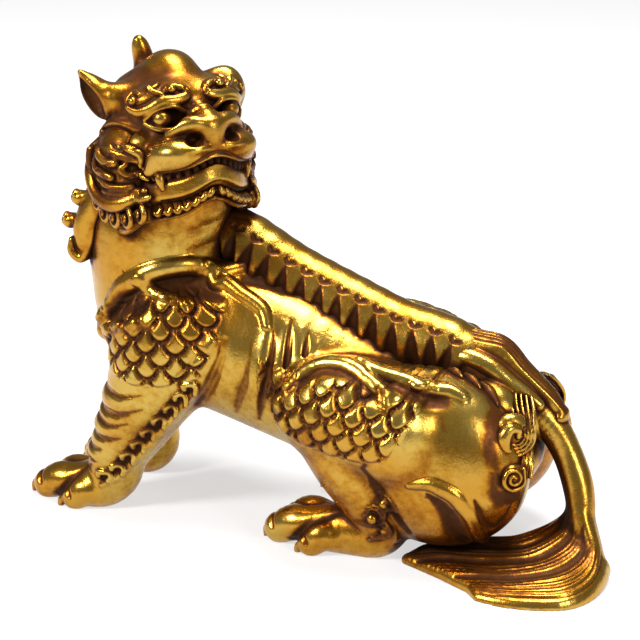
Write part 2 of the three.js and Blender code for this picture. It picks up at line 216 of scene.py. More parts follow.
    def ridge(self, points, height, steps=6, edge=0.5, groove=0.0):
        """A flat ribbon raised from the skin, with soft edges and if wanted a groove along its middle."""
        line = self.settle(smooth_line(points, steps))
        slices, distance = self.along(line, 2.0)
        lift = height / (1 + np.exp(np.clip(distance / (edge * 0.45), -30, 30)))
        if groove:
            bare = line.copy()
            bare[:, 3] = 0
            _, middle = self.along(bare, line[:, 3].max() + 2.0)
            lift -= groove * np.exp(-(middle / 0.55) ** 2)
        self.skin[slices] -= lift

    def stain(self, points, dark=0.3, steps=4):
        """A dark tone that the gilder leaves along a smooth curve through points of x, y, z and radius."""
        self.stains.append((smooth_line(points, steps), dark))

    def tint(self, slices, dark):
        """A dark tone laid through a window of the block."""
        if self.ink is None:
            self.ink = np.zeros(self.skin.shape, np.float32)
        self.ink[slices] = np.maximum(self.ink[slices], dark)

    def stained(self, points):
        """How dark the stains make each point."""
        tone = np.zeros(len(points), np.float32) if self.ink is None else self.sample(points, self.ink, 0)
        for line, dark in self.stains:
            wide = line[:, 3].max() * 1.3
            above = points > line[:, :3].min(0) - wide
            below = points < line[:, :3].max(0) + wide
            near = np.flatnonzero(np.all(above & below, axis=1))
            spot = points[near]
            cover = np.zeros(len(near), np.float32)
            for a, b in zip(line[:-1], line[1:]):
                step = (b - a)[:3]
                share = np.clip((spot - a[:3]) @ step / max(step @ step, 1e-6), 0, 1)
                away = np.linalg.norm(spot - a[:3] - share[:, None] * step, axis=1)
                cover = np.maximum(cover, 1.25 - away / (a[3] + (b[3] - a[3]) * share))
            tone[near] = np.maximum(tone[near], dark * np.clip(cover / 0.5, 0, 1))
        return tone

    def stand(self):
        """Files the underside flat, so that the casting stands."""
        depth = np.float32(SOLE_CUT) - self.axes[2].reshape(1, 1, -1)
        self.skin = np.maximum(self.skin, np.broadcast_to(depth, self.skin.shape))


blocks = {}


def cast(wax, name, merge=0.012, parts=None):
    """Takes the skin of a block of wax as a closed mesh, in the frame's metres. Flat places get larger
    faces. The parts are names with the range of X that each one covers, where the mould is parted."""
    field = np.clip(wax.skin, -SKIN_BAND, SKIN_BAND)
    for axis in range(3):
        for end in (0, -1):
            np.moveaxis(field, axis, 0)[end] = SKIN_BAND
    grid = openvdb.FloatGrid(SKIN_BAND)
    grid.copyFromArray(np.ascontiguousarray(field))
    points, triangles, quads = grid.convertToPolygons(0.0, merge)
    axes, seat = wax.seat
    points = (points * wax.grain + wax.low) @ axes + seat
    corners = ((points + SHIFT) / 1000).tolist()
    for part, low, high in parts or ((name, None, None),):
        mesh = bpy.data.meshes.new(part)
        mesh.from_pydata(corners, [], quads.tolist() + triangles.tolist())
        work = bmesh.new()
        work.from_mesh(mesh)
        for limit, beyond in ((low, -1), (high, 1)):
            if limit is not None:
                everything = [*work.verts, *work.edges, *work.faces]
                bmesh.ops.bisect_plane(work, geom=everything, plane_co=((limit + SHIFT[0]) / 1000, 0, 0),
                                       plane_no=(beyond, 0, 0), clear_outer=True)
                bmesh.ops.holes_fill(work, edges=[edge for edge in work.edges if edge.is_boundary], sides=0)
        for face in work.faces:
            face.smooth = True
        work.to_mesh(mesh)
        work.free()
        places = np.empty(len(mesh.vertices) * 3, np.float32)
        mesh.vertices.foreach_get("co", places)
        places = places.reshape(-1, 3) * 1000 - SHIFT
        local = (places - seat) @ axes.T
        nudges = np.eye(3) * wax.grain * 0.6
        slope = np.stack([wax.sample(local + d) - wax.sample(local - d) for d in nudges], 1)
        slope = (slope / np.maximum(np.linalg.norm(slope, axis=1), 1e-6)[:, None]) @ axes
        mesh.normals_split_custom_set_from_vertices(slope.tolist())
        piece = bpy.data.objects.new(part, mesh)
        bpy.context.scene.collection.objects.link(piece)
        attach(piece, "root")
        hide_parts("statue")
        blocks[part] = (wax, places, slope)


body = Wax((-104, -44, 0), (78, 43, 114), grain=0.45)
body.roll([
    (60, 0, 34, 13), (46, 0, 33, 23), (27, 0, 38, 23.5), (7, 0, 46.5, 24.5), (-14, -1, 55, 26),
    (-33, -2, 61, 26), (-47.5, -3, 67, 24.5), (-51, -3, 78, 23.5), (-51.5, -3, 91, 23.5), (-47, -5, 104, 19),
], melt=2.0, steps=4)

# The forelegs: straight and braced, in bronze, each with a round scaled shoulder that a ribbon of hair
# crosses. Hooked curls run down the back of the leg and its front is wrinkled. All of it is modelled on the
# wax of the trunk and cast with it.
SCALE_PITCH = 8.2
SCALE_SLIM = 0.47
SCALE_LONG = 1.75


def lap_scales(u, v, row):
    """Height, from 0 to 1, of scales that lap downwards in rows, and their dark seams. u runs across the
    scales and v upwards. A scale's width and length are shares of the pitch and of the row."""
    height = np.zeros(np.broadcast(u, v).shape, np.float32)
    taken = np.zeros(height.shape, bool)
    seam = np.zeros(height.shape, np.float32)
    top = np.floor(v / row)
    for above in (3, 2, 1, 0):
        level = top + above
        shift = np.mod(level, 2) * 0.5
        across = (np.mod(u / SCALE_PITCH - shift + 0.5, 1) - 0.5) / SCALE_SLIM
        drop = np.maximum(level * row - v, -row) / (SCALE_LONG * row)
        inside = (1 - np.sqrt(across**2 + np.maximum(drop, 0) ** 2)) * SCALE_SLIM * SCALE_PITCH
        here = (inside > 0) & ~taken
        crown = 1 - (1 - np.clip(inside / 1.3, 0, 1)) ** 2
        height = np.where(here, crown * (0.62 + 0.38 * np.clip(drop, 0, 1)), height)
        seam = np.where(taken, seam, np.maximum(seam, np.exp(-((inside + 0.1) / 0.5) ** 2)))
        taken |= here
    return height - 0.6 * seam, seam


def lay_scales(wax, slices, across, along, row, patch, height):
    """Raises scales on a patch of the skin, with dark seams between them."""
    lifted, seam = lap_scales(across, along, row)
    cover = patch * (np.abs(wax.skin[slices]) < 5)
    wax.skin[slices] -= (height * lifted * cover).astype(np.float32)
    wax.tint(slices, (0.17 * seam**0.7 * cover).astype(np.float32))


def engrave(wax, put, points, deep, dark, share=1.0):
    """Scores a groove along points, laid on one side by put, and leaves a share of its width dark."""
    wax.score(put(points), deep)
    bed = [(*p[:3], p[3] * share) for p in smooth_line(points, 3)]
    wax.stain(wax.settle(put(bed)), dark)


def model_toe(wax, put, root, tip, girth, seat, claw):
    """A toe with a raised knuckle and a claw that curves down from its end, in a sheath. The claw is given
    as how far ahead and down each point lies, and its radius, from a seat ahead of the tip and above it."""
    knuckle = [0.45 * a + 0.55 * b for a, b in zip(root, tip)]
    knuckle[2] += 1.4
    wax.roll(put([(*root, girth * 0.9), (*knuckle, girth * 0.96), (*tip, girth * 0.84)]), melt=0.9)
    way = np.array(tip) - root
    way = way / np.linalg.norm(way)
    start = np.array(tip) + way * girth * seat[0] + (0, 0, seat[1])
    claw = [(*(start + way * ahead - (0, 0, down)), radius) for ahead, down, radius in claw]
    wax.roll(put(claw), melt=0.3)
    x, y, z = np.array(tip) + way * girth * 0.2 + (0, 0, girth * 0.72)
    cuff = put([(x + 1, y - 3, z - 2.4, 0.6), (x, y, z, 0.6), (x + 1, y + 3, z - 2.4, 0.6)])
    wax.score(cuff, 0.8)
    wax.stain(wax.settle(cuff), 0.2)


def model_foreleg(wax, side):
    """Lays one foreleg on the wax of the body. The right one steps further forward and closer in."""
    elbow, paw, inward = (-8, 2, -9) if side > 0 else (0, 0, 0)

    def placed(points):
        """Points given on the left leg, moved to this one. They step with the height that they have."""
        moved = []
        for x, y, z, *rest in points:
            bend = min(1.0, max(0.0, (64 - z) / 34))
            low = min(1.0, max(0.0, (30 - z) / 24))
            step = elbow * bend + (paw - elbow) * low
            moved.append((x + step, -side * y + inward * bend, z, *rest))
        return moved

    wax.roll(placed([
        (-43, -14, 64, 18), (-45, -16, 53, 17.5), (-50, -18, 42, 14.5), (-56, -18.5, 30.5, 12),
        (-61.5, -19, 20, 9.8), (-64, -19, 11, 8.6), (-70, -19.5, 7, 8.2), (-78, -19.5, 6, 6.8),
    ]), melt=2.5, steps=4)
    # the muscle of the shoulder stands out over the upper arm
    wax.egg(placed([(-43, -14.5, 64)])[0], (20.5, 17.5, 15.5), melt=5.0)
    wax.egg(placed([(-33, -16, 54)])[0], (11, 11.5, 14), turned(pitch=35), melt=4.0)

    toes = (((-74, -16, 8.5), (-84.5, -14.5, 5), 5.6), ((-75, -20, 7), (-87, -20.5, 4.6), 6.0),
            ((-67, -23, 6.5), (-74.5, -25.5, 4.2), 5.4))
    claw = ((0, 0, 2.1), (2.2, 0.9, 1.6), (3.2, 3.4, 0.7))
    for root, tip, girth in toes:
        model_toe(wax, placed, root, tip, girth, (0.45, 0.9), claw)
    # the clefts between the toes are left dark
    for cleft in ([(-72, -18, 12.6, 0.5), (-80, -17.6, 9.4, 0.9), (-88, -17.4, 4, 1.0)],
                  [(-68, -21.4, 12.4, 0.7), (-75, -23.4, 8.6, 1.5), (-81, -25.6, 3.6, 1.3)],
                  [(-76, -12, 11, 0.5), (-81, -10.8, 7, 0.9), (-84, -10.4, 3, 0.9)]):
        wax.score(placed(cleft), 1.1)
        wax.stain(wax.settle(placed(cleft)), 0.3)

    # the sunk patches under the ribbon are shaped first, so that the scales run into them
    for sunk in ([(-57, -25, 70, 3.6), (-52, -27, 73.5, 4.0), (-47, -28, 73, 3.4)],
                 [(-43, -25, 80.5, 2.6), (-37, -23, 80.5, 3.4), (-30, -20, 78, 3.4), (-24, -19, 73.5, 2.4)],
                 [(-19, -12, 79.5, 1.9), (-13, -10.5, 79, 2.0), (-6, -9.5, 78.5, 2.0), (-2, -7, 78, 1.5)]):
        wax.score(placed(sunk), 1.7)
        wax.stain(placed([(*p[:3], p[3] * 1.1) for p in sunk]), 0.3)

    # scales lap down the shoulder, wrapped round its upright axis
    axis = placed([(-43.5, -12, 55)])[0]
    shoulder_radius = 19.0
    slices, (x, y, z) = wax.window((-75, min(-side * -42, 0) - 1, 44), (-16, max(-side * -42, 0) + 1, 84))
    angle = np.arctan2((y - axis[1]) * -side, x - axis[0])
    across = (angle + math.pi / 2) * shoulder_radius
    edge = 79 - 0.012 * (x + 36) ** 2
    patch = np.clip((edge - z) / 1.6, 0, 1) * np.clip((z - 49.0 - 0.010 * (x + 46) ** 2) / 1.2, 0, 1)
    patch = patch * np.clip((-21.5 - x + np.minimum(z - 66, 0) * 0.42) / 1.6, 0, 1)
    patch = patch * np.clip(((y - axis[1]) * side - 1) / 3, 0, 1)
    lay_scales(wax, slices, across, z - 51.0, 4.1, patch, height=1.15)

    # the ribbon crosses the shoulder in two loops and runs back to the crest
    wax.ridge(placed([(-65, -16, 58, 1.5), (-63, -20, 63, 2.2), (-60, -24, 70, 2.5),
                      (-55.5, -25.7, 76.8, 2.7), (-49.5, -26, 81.4, 2.8), (-43, -24, 84.6, 2.8),
                      (-36, -19.5, 85.4, 2.8), (-31, -15, 83.4, 2.7), (-26, -13, 82.3, 2.5),
                      (-20.5, -7.5, 83.2, 2.3), (-15, -5.5, 82, 2.2), (-9, -6, 80.8, 2.0),
                      (-3, -6.5, 80, 1.6)]), 2.3, groove=0.9)
    wax.ridge(placed([(-49, -26, 81.5, 1.7), (-45.6, -26.3, 79.2, 2.0), (-42.2, -26.5, 77.2, 2.0),
                      (-38, -26, 75.4, 1.7), (-35.4, -26, 73.4, 1.3), (-33.6, -26, 71.8, 0.7)]),
              2.0, groove=0.7)
    wax.ridge(placed([(-31, -15, 83, 1.8), (-27, -15.5, 81, 2.1), (-22.8, -16.5, 79.8, 2.1),
                      (-18.6, -17.5, 77.8, 1.9), (-14.5, -18, 76.0, 1.9), (-11, -18.6, 73.6, 1.7),
                      (-9, -20, 69, 1.2)]), 1.9, groove=0.6)
    wax.ridge(placed([(-61, -23, 62.6, 1.5), (-55, -28, 64.8, 1.7), (-50, -30, 67.2, 1.5),
                      (-46, -30.7, 69.4, 1.2), (-43, -31, 69.2, 0.8)]), 1.5)

    # a smooth flap of muscle runs from behind the scales down the back of the arm
    behind = [(-20.8, -24, 65, 0.9), (-21.5, -25, 60, 1.3), (-24, -25, 54, 1.6), (-28, -23, 48, 1.6),
              (-33, -21, 42, 1.2)]
    wax.score(placed(behind), 2.0)
    wax.stain(placed([(*p[:3], 1.5) for p in behind]), 0.25)
    flap = [(-24.5, -26.5, 64, 2.2), (-26, -28, 58.5, 3.2), (-29.5, -27.5, 53, 3.2), (-34, -26, 46.5, 2.6),
            (-40, -25, 38, 2.0), (-46, -24, 30, 1.6), (-52, -23, 22, 1.2)]
    wax.ridge(placed(flap), 0.9, edge=1.2)
    wax.score(placed([(-26.9, -28, 61.5, 0.6), (-30.7, -29.5, 57.3, 0.7), (-34.6, -30.3, 54, 0.6)]), 0.9)

    # wrinkles fold the front of the leg, and a sunk band carries the hooked curls
    for points, deep in (
        ([(-61, -16, 45.6, 0.9), (-59, -24, 44.2, 0.9), (-54, -28.5, 44, 0.75), (-46, -31, 46.4, 0.35)],
         1.2),
        ([(-64, -16, 38.6, 1.1), (-61, -25, 37.4, 1.2), (-55, -29, 37.6, 1.0), (-46.5, -30, 41.6, 0.4)],
         1.6),
        ([(-66, -16, 34.2, 0.7), (-63, -25, 33.2, 0.8), (-57.5, -28.5, 33.2, 0.6), (-52, -29, 35.4, 0.3)],
         0.9),
        ([(-68, -16, 29, 1.0), (-65.4, -25, 27.6, 1.1), (-59.5, -28, 28.0, 0.8), (-54.6, -28.4, 29.8, 0.3)],
         1.5),
        ([(-71, -16, 24.2, 0.7), (-67.6, -25, 23.2, 0.8), (-62.4, -27.5, 23.6, 0.4)], 0.9),
        ([(-72.6, -16, 19.0, 0.8), (-69.4, -24, 17.8, 0.9), (-65, -26.5, 18.6, 0.4)], 1.2),
    ):
        engrave(wax, placed, points, deep, 0.13, share=0.7)
    for swell in ([(-62, -19, 41.4, 1.8), (-58, -27, 40.6, 2.4), (-50, -31, 43, 1.6)],
                  [(-67, -19, 31.2, 1.6), (-63, -27, 30.2, 2.2), (-56, -29, 31.6, 1.6)],
                  [(-70, -19, 21.6, 1.4), (-67, -26, 20.4, 1.9), (-63, -27.5, 21.2, 1.4)]):
        wax.score(placed(swell), -0.7)
    band = [(-33.5, -26.5, 49, 1.6), (-39, -27.5, 42, 2.1), (-45, -28, 34, 2.2), (-51, -28, 26, 2.2),
            (-57, -28, 19, 2.0), (-63, -28, 13, 1.6)]
    wax.score(placed(band), 1.5)
    wax.stain(wax.settle(placed([(*p[:3], p[3] * 1.05) for p in smooth_line(band, 3)]), 1.4), 0.26)
    border = [(-30.5, -26.5, 49, 0.9), (-36.5, -26, 41.5, 1.0), (-43, -26, 32.5, 1.0), (-49.5, -26, 24, 1.0),
              (-56.5, -26.5, 15.5, 0.9), (-64, -27, 10.5, 0.7)]
    wax.ridge(placed(border), 1.1)
    rim = wax.settle(placed(border))
    for share in np.linspace(0.02, 0.92, 9):
        where = share * (len(border) - 1)
        i = min(int(where), len(border) - 2)
        root = (rim[i] + (rim[i + 1] - rim[i]) * (where - i))[:3]
        down = (rim[i + 1] - rim[i])[:3] / np.linalg.norm((rim[i + 1] - rim[i])[:3])
        ahead = np.array([-0.86, 0.1 * side, 0.5])
        hook = [(*root, 1.0), (*(root + ahead * 1.4 - down * 2.4), 1.15),
                (*(root + ahead * 3.6 - down * 3.0), 1.15), (*(root + ahead * 4.9 - down * 1.4), 1.15),
                (*(root + ahead * 4.0), 1.2)]
        hook = wax.settle(smooth_line(hook, 3), -0.2)
        wax.roll(hook, melt=0.25, steps=1)


for side in SIDES:
    model_foreleg(body, side)


# The hind legs: folded under the body, each a great round haunch with a scaled knee and a flat foot.
# A ribbon of hair outlines the haunch, a flap of skin wraps the hip and curls run down the hock. They are
# modelled on the trunk's wax and cast with it.
def model_hind_leg(wax, side):
    """Lays one hind leg on the wax of the body."""

    def put(points):
        return side_of(points, side)

    wax.egg(put([(43.5, -16, 33.5)])[0], (30, 18, 27.5), turned(pitch=20), melt=3.0)
    wax.roll(put([(33, -22, 44, 18), (19, -25, 49, 16), (10, -26, 48, 13.5)]), melt=3.0)
    wax.roll(put([(12.5, -25, 44, 12), (20, -24, 32, 12), (25, -22, 22, 10.5), (28.5, -20, 13, 9.5),
                  (26, -20, 8, 8.8), (17, -21, 7.4, 8.2), (8, -22, 6.6, 7.2)]), melt=2.5, steps=4)
    toes = (((10, -18.5, 8.5), (-0.5, -16, 6), 5.8), ((8, -23, 7.5), (-4, -23, 4.8), 6.0),
            ((15, -25.5, 6.5), (8.5, -28, 4.2), 5.4))
    claw = ((0, 0, 2.0), (1.8, 0.9, 1.5), (2.6, 3.2, 0.7))
    for root, tip, girth in toes:
        model_toe(wax, put, root, tip, girth, (0.42, 0.8), claw)
    for cleft in ([(13, -20.6, 12.6, 0.5), (5, -20.2, 10, 0.9), (-4, -19.8, 4, 1.0)],
                  [(17, -24.4, 12.4, 0.7), (9, -25.6, 8.6, 1.6), (2, -27, 3.6, 1.3)]):
        wax.score(put(cleft), 1.1)
        wax.stain(wax.settle(put(cleft)), 0.3)

    # sunk patches under both ribbons
    for sunk, deep in (([(7, -32, 56, 1.8), (11, -31, 59, 2.6), (17, -30, 60.6, 2.8), (23, -30.5, 60, 2.8),
                         (28, -32.5, 57.5, 2.6), (31.5, -34, 55, 1.8)], 1.5),
                       ([(26, -28, 62, 1.2), (31, -28, 60, 2.2), (37, -28, 57.5, 2.8), (43, -27, 56, 2.6),
                         (49, -25, 55.4, 1.8)], 1.9)):
        wax.score(put(sunk), deep)
        wax.stain(put([(*p[:3], p[3] * 1.15) for p in sunk]), 0.3)

    # scales on the knee lap down and forwards
    slices, (x, y, z) = wax.window((-9, min(side * 44, side * 12), 20), (56, max(side * 44, side * 12), 68))
    lean = math.radians(16)
    across = (x - 20) * math.cos(lean) - (z - 45) * math.sin(lean)
    along = (x - 20) * math.sin(lean) + (z - 45) * math.cos(lean)
    low = 38.5 + 0.010 * (x - 20) ** 2 - 0.1 * (x - 20)
    patch = np.clip((62 - z) / 1.5, 0, 1) * np.clip((z - low) / 1.2, 0, 1)
    patch = patch * np.clip((41 + 0.5 * (z - 48) - x) / 1.2, 0, 1)
    patch = patch * np.clip((np.abs(y) - 25.5 + np.maximum(x - 2, 0)) / 1.5, 0, 1)
    lay_scales(wax, slices, across, along, 4.3, patch, height=1.1)

    # the ribbon round the haunch, in two branches
    wax.ridge(put([(4.0, -34, 52, 1.2), (4.7, -33.5, 56, 1.8), (7, -30, 60, 2.3), (12, -27.5, 62.3, 2.5),
                   (18, -27.5, 63.4, 2.6), (23, -28.5, 62.6, 2.6), (27.3, -30.5, 60.8, 2.3),
                   (31.3, -31.8, 59.2, 2.1), (33.8, -33.5, 57.4, 1.9), (34.8, -36, 54.5, 1.2)]),
              2.2, groove=0.9)
    wax.ridge(put([(22, -26.5, 64, 1.6), (28.6, -26.5, 62.6, 2.2), (34.5, -25.6, 61.4, 2.4),
                   (40, -24.4, 59.6, 2.4), (45.3, -23.2, 58.2, 2.3), (50, -22, 58.2, 2.0),
                   (53.5, -21.5, 56, 1.4)]), 2.2, groove=0.8)

    # the shin stands out from the haunch, and the heel has curls with hair combed back from them
    shin = [(28.6, -35, 39.6, 0.7), (29.6, -34.5, 34, 1.2), (31, -33, 28, 1.7), (34.4, -31, 21, 1.9),
            (39, -28, 13, 1.5)]
    engrave(wax, put, shin, 2.4, 0.24, share=0.8)
    heel = [(33, -32, 24, 1.2), (33.5, -31, 18.5, 1.4), (35, -29, 13, 1.4), (36, -27, 8.5, 1.0)]
    wax.ridge(put(heel), 1.0)
    for x, z in ((33.4, 22.4), (29.8, 18.2), (33.6, 12.8)):
        # each curl is a round bead with strands wound out of it, which sweep forward and down
        bead = wax.settle(put([(x, -31, z)]), -0.5)[0]
        wax.egg(bead, (1.7, 1.7, 1.7), melt=0.3)
        for ring in (2.6, 3.9):
            angles = np.radians((120, 60, 0, -50, -95))
            turn = [(x + ring * math.cos(a), -31, z + ring * math.sin(a), 0.6) for a in angles]
            turn.append((x - ring - 2.4, -31.5, z - ring - 0.6, 0.55))
            strand = wax.settle(smooth_line(put(turn), 3), -0.1)
            wax.roll(strand, melt=0.25, steps=1)
        ground = put([(x - 4, -31, z - 3.4, 1.4), (x + 1.6, -31, z - 2.4, 2.0), (x + 2.6, -31, z + 1, 1.8)])
        wax.stain(wax.settle(ground), 0.15)
    # the skin at the back of the haunch wraps over the hip in a smooth flap
    under = [(47.6, -33.4, 29.2, 0.6), (51.0, -32.5, 26.2, 1.7), (53.4, -31.1, 22.0, 2.5),
             (54.6, -29.1, 17.4, 2.8), (55.4, -24, 12, 2.4)]
    engrave(wax, put, under, 2.6, 0.32)
    wax.ridge(put([(42, -34, 31.6, 0.8), (47.8, -33.4, 32.7, 1.6), (51.5, -32.8, 31.7, 2.0),
                   (55.3, -32.3, 29.5, 2.1), (57.6, -30.6, 25.9, 1.9), (59.5, -28.6, 21.8, 1.7),
                   (60.5, -26, 17, 1.6), (60.6, -17, 9.3, 1.2)]), 1.9)
    behind = [(60.7, -29.7, 28.4, 0.4), (61.9, -28.4, 24.4, 0.9), (62.9, -25.5, 19.6, 1.0),
              (64.2, -22.6, 17.7, 0.9), (67.1, -22.4, 21.3, 0.7), (69.4, -22.2, 26.2, 0.4)]
    engrave(wax, put, behind, 1.4, 0.2)


for side in SIDES:
    model_hind_leg(body, side)

# The folds of the flank: soft ridges over the ribs and creases at the side of the neck, pressed into the wax
# with a round tool before the bronze is cast. The mould of the body is parted behind the forelegs.
PARTING = -14
for side in SIDES:
    for fold, depth, dark in (
        ([(-7.1, -20.2, 69.5, 0.3), (-6, -22.8, 65.5, 0.6), (-6, -24.6, 60, 0.8), (-7.2, -26, 53, 0.9),
          (-9, -25, 46, 0.9), (-11, -22, 40, 0.4)], 1.6, 0.16),
        ([(-2.4, -17, 71.5, 0.3), (-1.6, -20.5, 66.5, 0.7), (-1.2, -23.5, 60.5, 0.85),
          (-1.8, -25, 55.5, 0.4)], 1.8, 0.22),
        ([(3.2, -17.4, 68.5, 0.3), (3.6, -20.4, 63.6, 0.65), (3.4, -23, 59.5, 0.4)], 1.5, 0.2),
        ([(-11.6, -25, 66, 0.3), (-13, -26.2, 57, 0.8), (-14.6, -26.1, 51, 1.3), (-17.2, -24.6, 45, 1.2),
          (-19, -22, 40, 0.4)], 1.3, 0.07),
    ):
        body.score(side_of(fold, side), depth)
        body.stain(body.settle(side_of([(*p[:3], p[3] * 0.9) for p in smooth_line(fold, 3)], side)), dark)
    for x, top, low in ((-10.2, 69, 44), (-4.2, 71, 46), (1.0, 71, 50), (6.2, 67, 55)):
        swell = [(x + 1.4, -20, top, 1.2), (x + 0.4, -23, (top + low) / 2, 2.4), (x - 1.6, -25, low, 1.2)]
        body.score(side_of(swell, side), -0.9)
    for z, width in ((97, 1.2), (91, 1.0)):
        crease = [(-34, -20, z - 1, width), (-30, -16, z, width), (-26.5, -10, z + 1, width * 0.6)]
        body.score(side_of(crease, side), 0.35)
body.stand()
cast(body, "body", parts=(("forequarters", None, PARTING), ("hindquarters", PARTING, None)))

# The crest: a broad saddle of bronze along the spine, cast with the back. Its edge on each flank is cut into
# pointed fingers, with a sunk drop between each two, left dark, and a small mark cut over every drop.
FINGER_STEP = 6.3
crest = Wax((-40, -19, 40), (66, 19, 104), grain=0.42)
spine = smooth_line([(-33, -1, 95), (-24, -1, 93), (-9, 0, 84.5), (11, 0, 76.5), (27, 0, 70.5), (43, 0, 67),
                     (54, 0, 60)], 8)
steps = np.linalg.norm(np.diff(spine, axis=0), axis=1)
travel = np.concatenate([[0], np.cumsum(steps)])
for rise, wide in ((-1.2, 5.0), (-4.4, 8.6), (-7.2, 10.4)):
    crest.roll([(*(p + (0, 0, rise)), wide) for p in spine[::4]], melt=3.0, steps=3)


def spine_at(distance):
    """A place on the spine, and the way that it runs there."""
    place = np.array([np.interp(distance, travel, spine[:, i]) for i in range(3)])
    ahead = np.array([np.interp(distance + 1, travel, spine[:, i]) for i in range(3)])
    behind = np.array([np.interp(distance - 1, travel, spine[:, i]) for i in range(3)])
    return place, (ahead - behind) / np.linalg.norm(ahead - behind)


for count in range(int((travel[-1] - 4) / FINGER_STEP) + 1):
    place, way = spine_at(3 + count * FINGER_STEP)
    high = np.cross(way, (0, 1, 0))
    high = high if high[2] > 0 else -high
    # a soft knob on the back over every finger
    crest.egg(place + way * FINGER_STEP / 2 + high * 1.6, (3.0, 3.4, 2.6), melt=3.5)
    for side in SIDES:
        out = np.array([0, side, 0.0])
        line = [place + out * a + high * b + way * c for a, b, c in
                ((7.6, 0.6, -1.0), (8.8, -1.4, -0.5), (9.8, -4.0, 0.2), (10.8, -7.4, 1.0), (11.4, -10, 1.4))]
        path = crest.settle([(*p, w) for p, w in zip(line, (0.3, 1.0, 1.7, 2.1, 2.3))], -0.4)
        crest.roll(path, melt=0.35, steps=5, hollow=True)
        crest.stain([(*p[:3], p[3] * 1.05 + 0.2) for p in path], 0.34)
        mark = [place + out * a + high * b + way * c for a, b, c in
                ((6.0, 1.7, -2.2), (6.6, 1.2, -1.0), (6.0, 1.7, 0.4))]
        crest.score([(*p, 0.55) for p in mark], 0.9)
        crest.stain(crest.settle([(*p, 0.9) for p in mark]), 0.24)
cast(crest, "crest")

# The tail: a round bronze stem that drops from the rump and lies down as a great tuft, swept forward on the
# ground. It is cast with the body. Its hair is combed in nested strands, parted by dark furrows.
tail = Wax((28, -44, 0), (101, 8, 58), grain=0.42)
TAIL = [(56, 0, 50, 9), (67, 0, 48, 7), (75, -0.5, 43, 5.2), (80.5, -1, 35, 4.6), (84.8, -3, 26, 4.7),
        (87.0, -5.8, 18, 4.2), (87.6, -8, 12, 3.2)]
tail.roll(TAIL, melt=1.5)
tail.stain([(x - 0.9 * r, y - 0.3 * r, z - 0.5 * r, 0.85 * r) for x, y, z, r in TAIL[1:6]], 0.4)
# lines that the combing follows, from the inner edge of the tuft to the outer one
COMBED = [smooth_line(line, 6) for line in (
    [(82.6, -3.8, 27), (83.2, -5.2, 20), (80.3, -4, 14.5), (74.7, -2.8, 10), (67.8, -8, 8), (59, -10.3, 7),
     (48.5, -13, 6), (38.2, -20, 3)],
    [(83.6, -5.0, 27), (85.2, -7.6, 20), (83.6, -8.6, 13), (78.2, -14.7, 9.5), (71.5, -19.8, 8),
     (56, -22.3, 6.5), (45, -22, 5), (34.7, -25.1, 2.5)],
    [(84.8, -5.6, 26.5), (87.0, -8.8, 19.5), (88.4, -10, 13), (86.7, -15.8, 9.5), (80.5, -24, 7.8),
     (70.8, -29.6, 6.8), (59, -30, 5.4), (49, -29.2, 3.5)],
    [(86.0, -5.2, 26), (88.8, -9.0, 18.5), (91, -12, 12), (92, -18, 8.5), (87, -27, 6.8), (76, -33, 5.6),
     (68, -35, 4.6), (60.5, -34.8, 3)],
    [(87.0, -4.2, 25), (90.2, -7.8, 17), (93.2, -13.4, 10), (94.2, -22.6, 6.4), (89.4, -32, 5),
     (79, -36.2, 4.4), (71, -37.5, 3.8), (62, -37, 2.6)],
    [(87.6, -3.0, 23), (91.4, -6.4, 14), (94.6, -13.2, 7), (95.4, -23.6, 3.4), (90.6, -33.4, 2.4),
     (80, -38, 2.2), (71, -39, 2), (63.5, -38.2, 1.6)],
)]


def combed(share):
    """One line of the combing, at a share of the way from line to line."""
    first = min(int(share), len(COMBED) - 2)
    return COMBED[first] + (COMBED[first + 1] - COMBED[first]) * (share - first)


for share in np.arange(0, 5.01, 0.125):
    line = combed(share)
    tip = 1 - 0.7 * np.linspace(0, 1, len(line)) ** 4
    slim = tip * np.clip(np.linspace(0.05, 3.4, len(line)), 0, 1) ** 1.4
    tail.roll(np.column_stack([line - np.outer(1.7 * slim, (0, 0, 1)), 1.8 * slim])[::4], melt=1.2, steps=3)
    under = line[12:] * (1, 1, 0.45)
    tail.roll(np.column_stack([under, np.clip(line[12:, 2] * 0.45, 0.8, 4)])[::4], melt=1.2, steps=3)
for share, wide, deep in (
    (0.12, 0.6, 0.8), (0.30, 0.6, 0.8), (0.60, 1.5, 1.5), (0.88, 0.55, 0.9), (1.06, 0.55, 0.9),
    (1.45, 1.7, 1.7), (1.80, 0.6, 0.9), (1.98, 0.6, 0.9), (2.18, 0.6, 0.9), (2.56, 1.5, 1.6),
    (2.9, 0.6, 0.9), (3.2, 0.6, 0.9), (3.6, 0.65, 1.0), (4.1, 0.6, 0.9), (4.6, 0.6, 0.7),
):
    line = combed(share)[11 if wide < 1 else 9 :]
    fade = (0.25 + 0.75 * np.sin(np.linspace(0, 1, len(line)) * math.pi) ** 0.6) * wide
    groove = np.column_stack([line, fade])
    tail.score(groove[::2], deep, steps=3)
    tail.stain(tail.settle(groove[::2] * (1, 1, 1, 0.9 if wide > 1 else 0.6)), 0.3 if wide > 1 else 0.11)
tail.stand()
cast(tail, "tail")

# Locks over the rump: the crest ends in one long lock over the tail and a smooth roll on each side of it.
# Strands fall from the rolls in parallel and wind into two curls beside the tail. They are rolled in wax,
# laid on the trunk and cast with it in bronze.
rump = Wax((38, -30, 26), (84, 30, 74), grain=0.34)


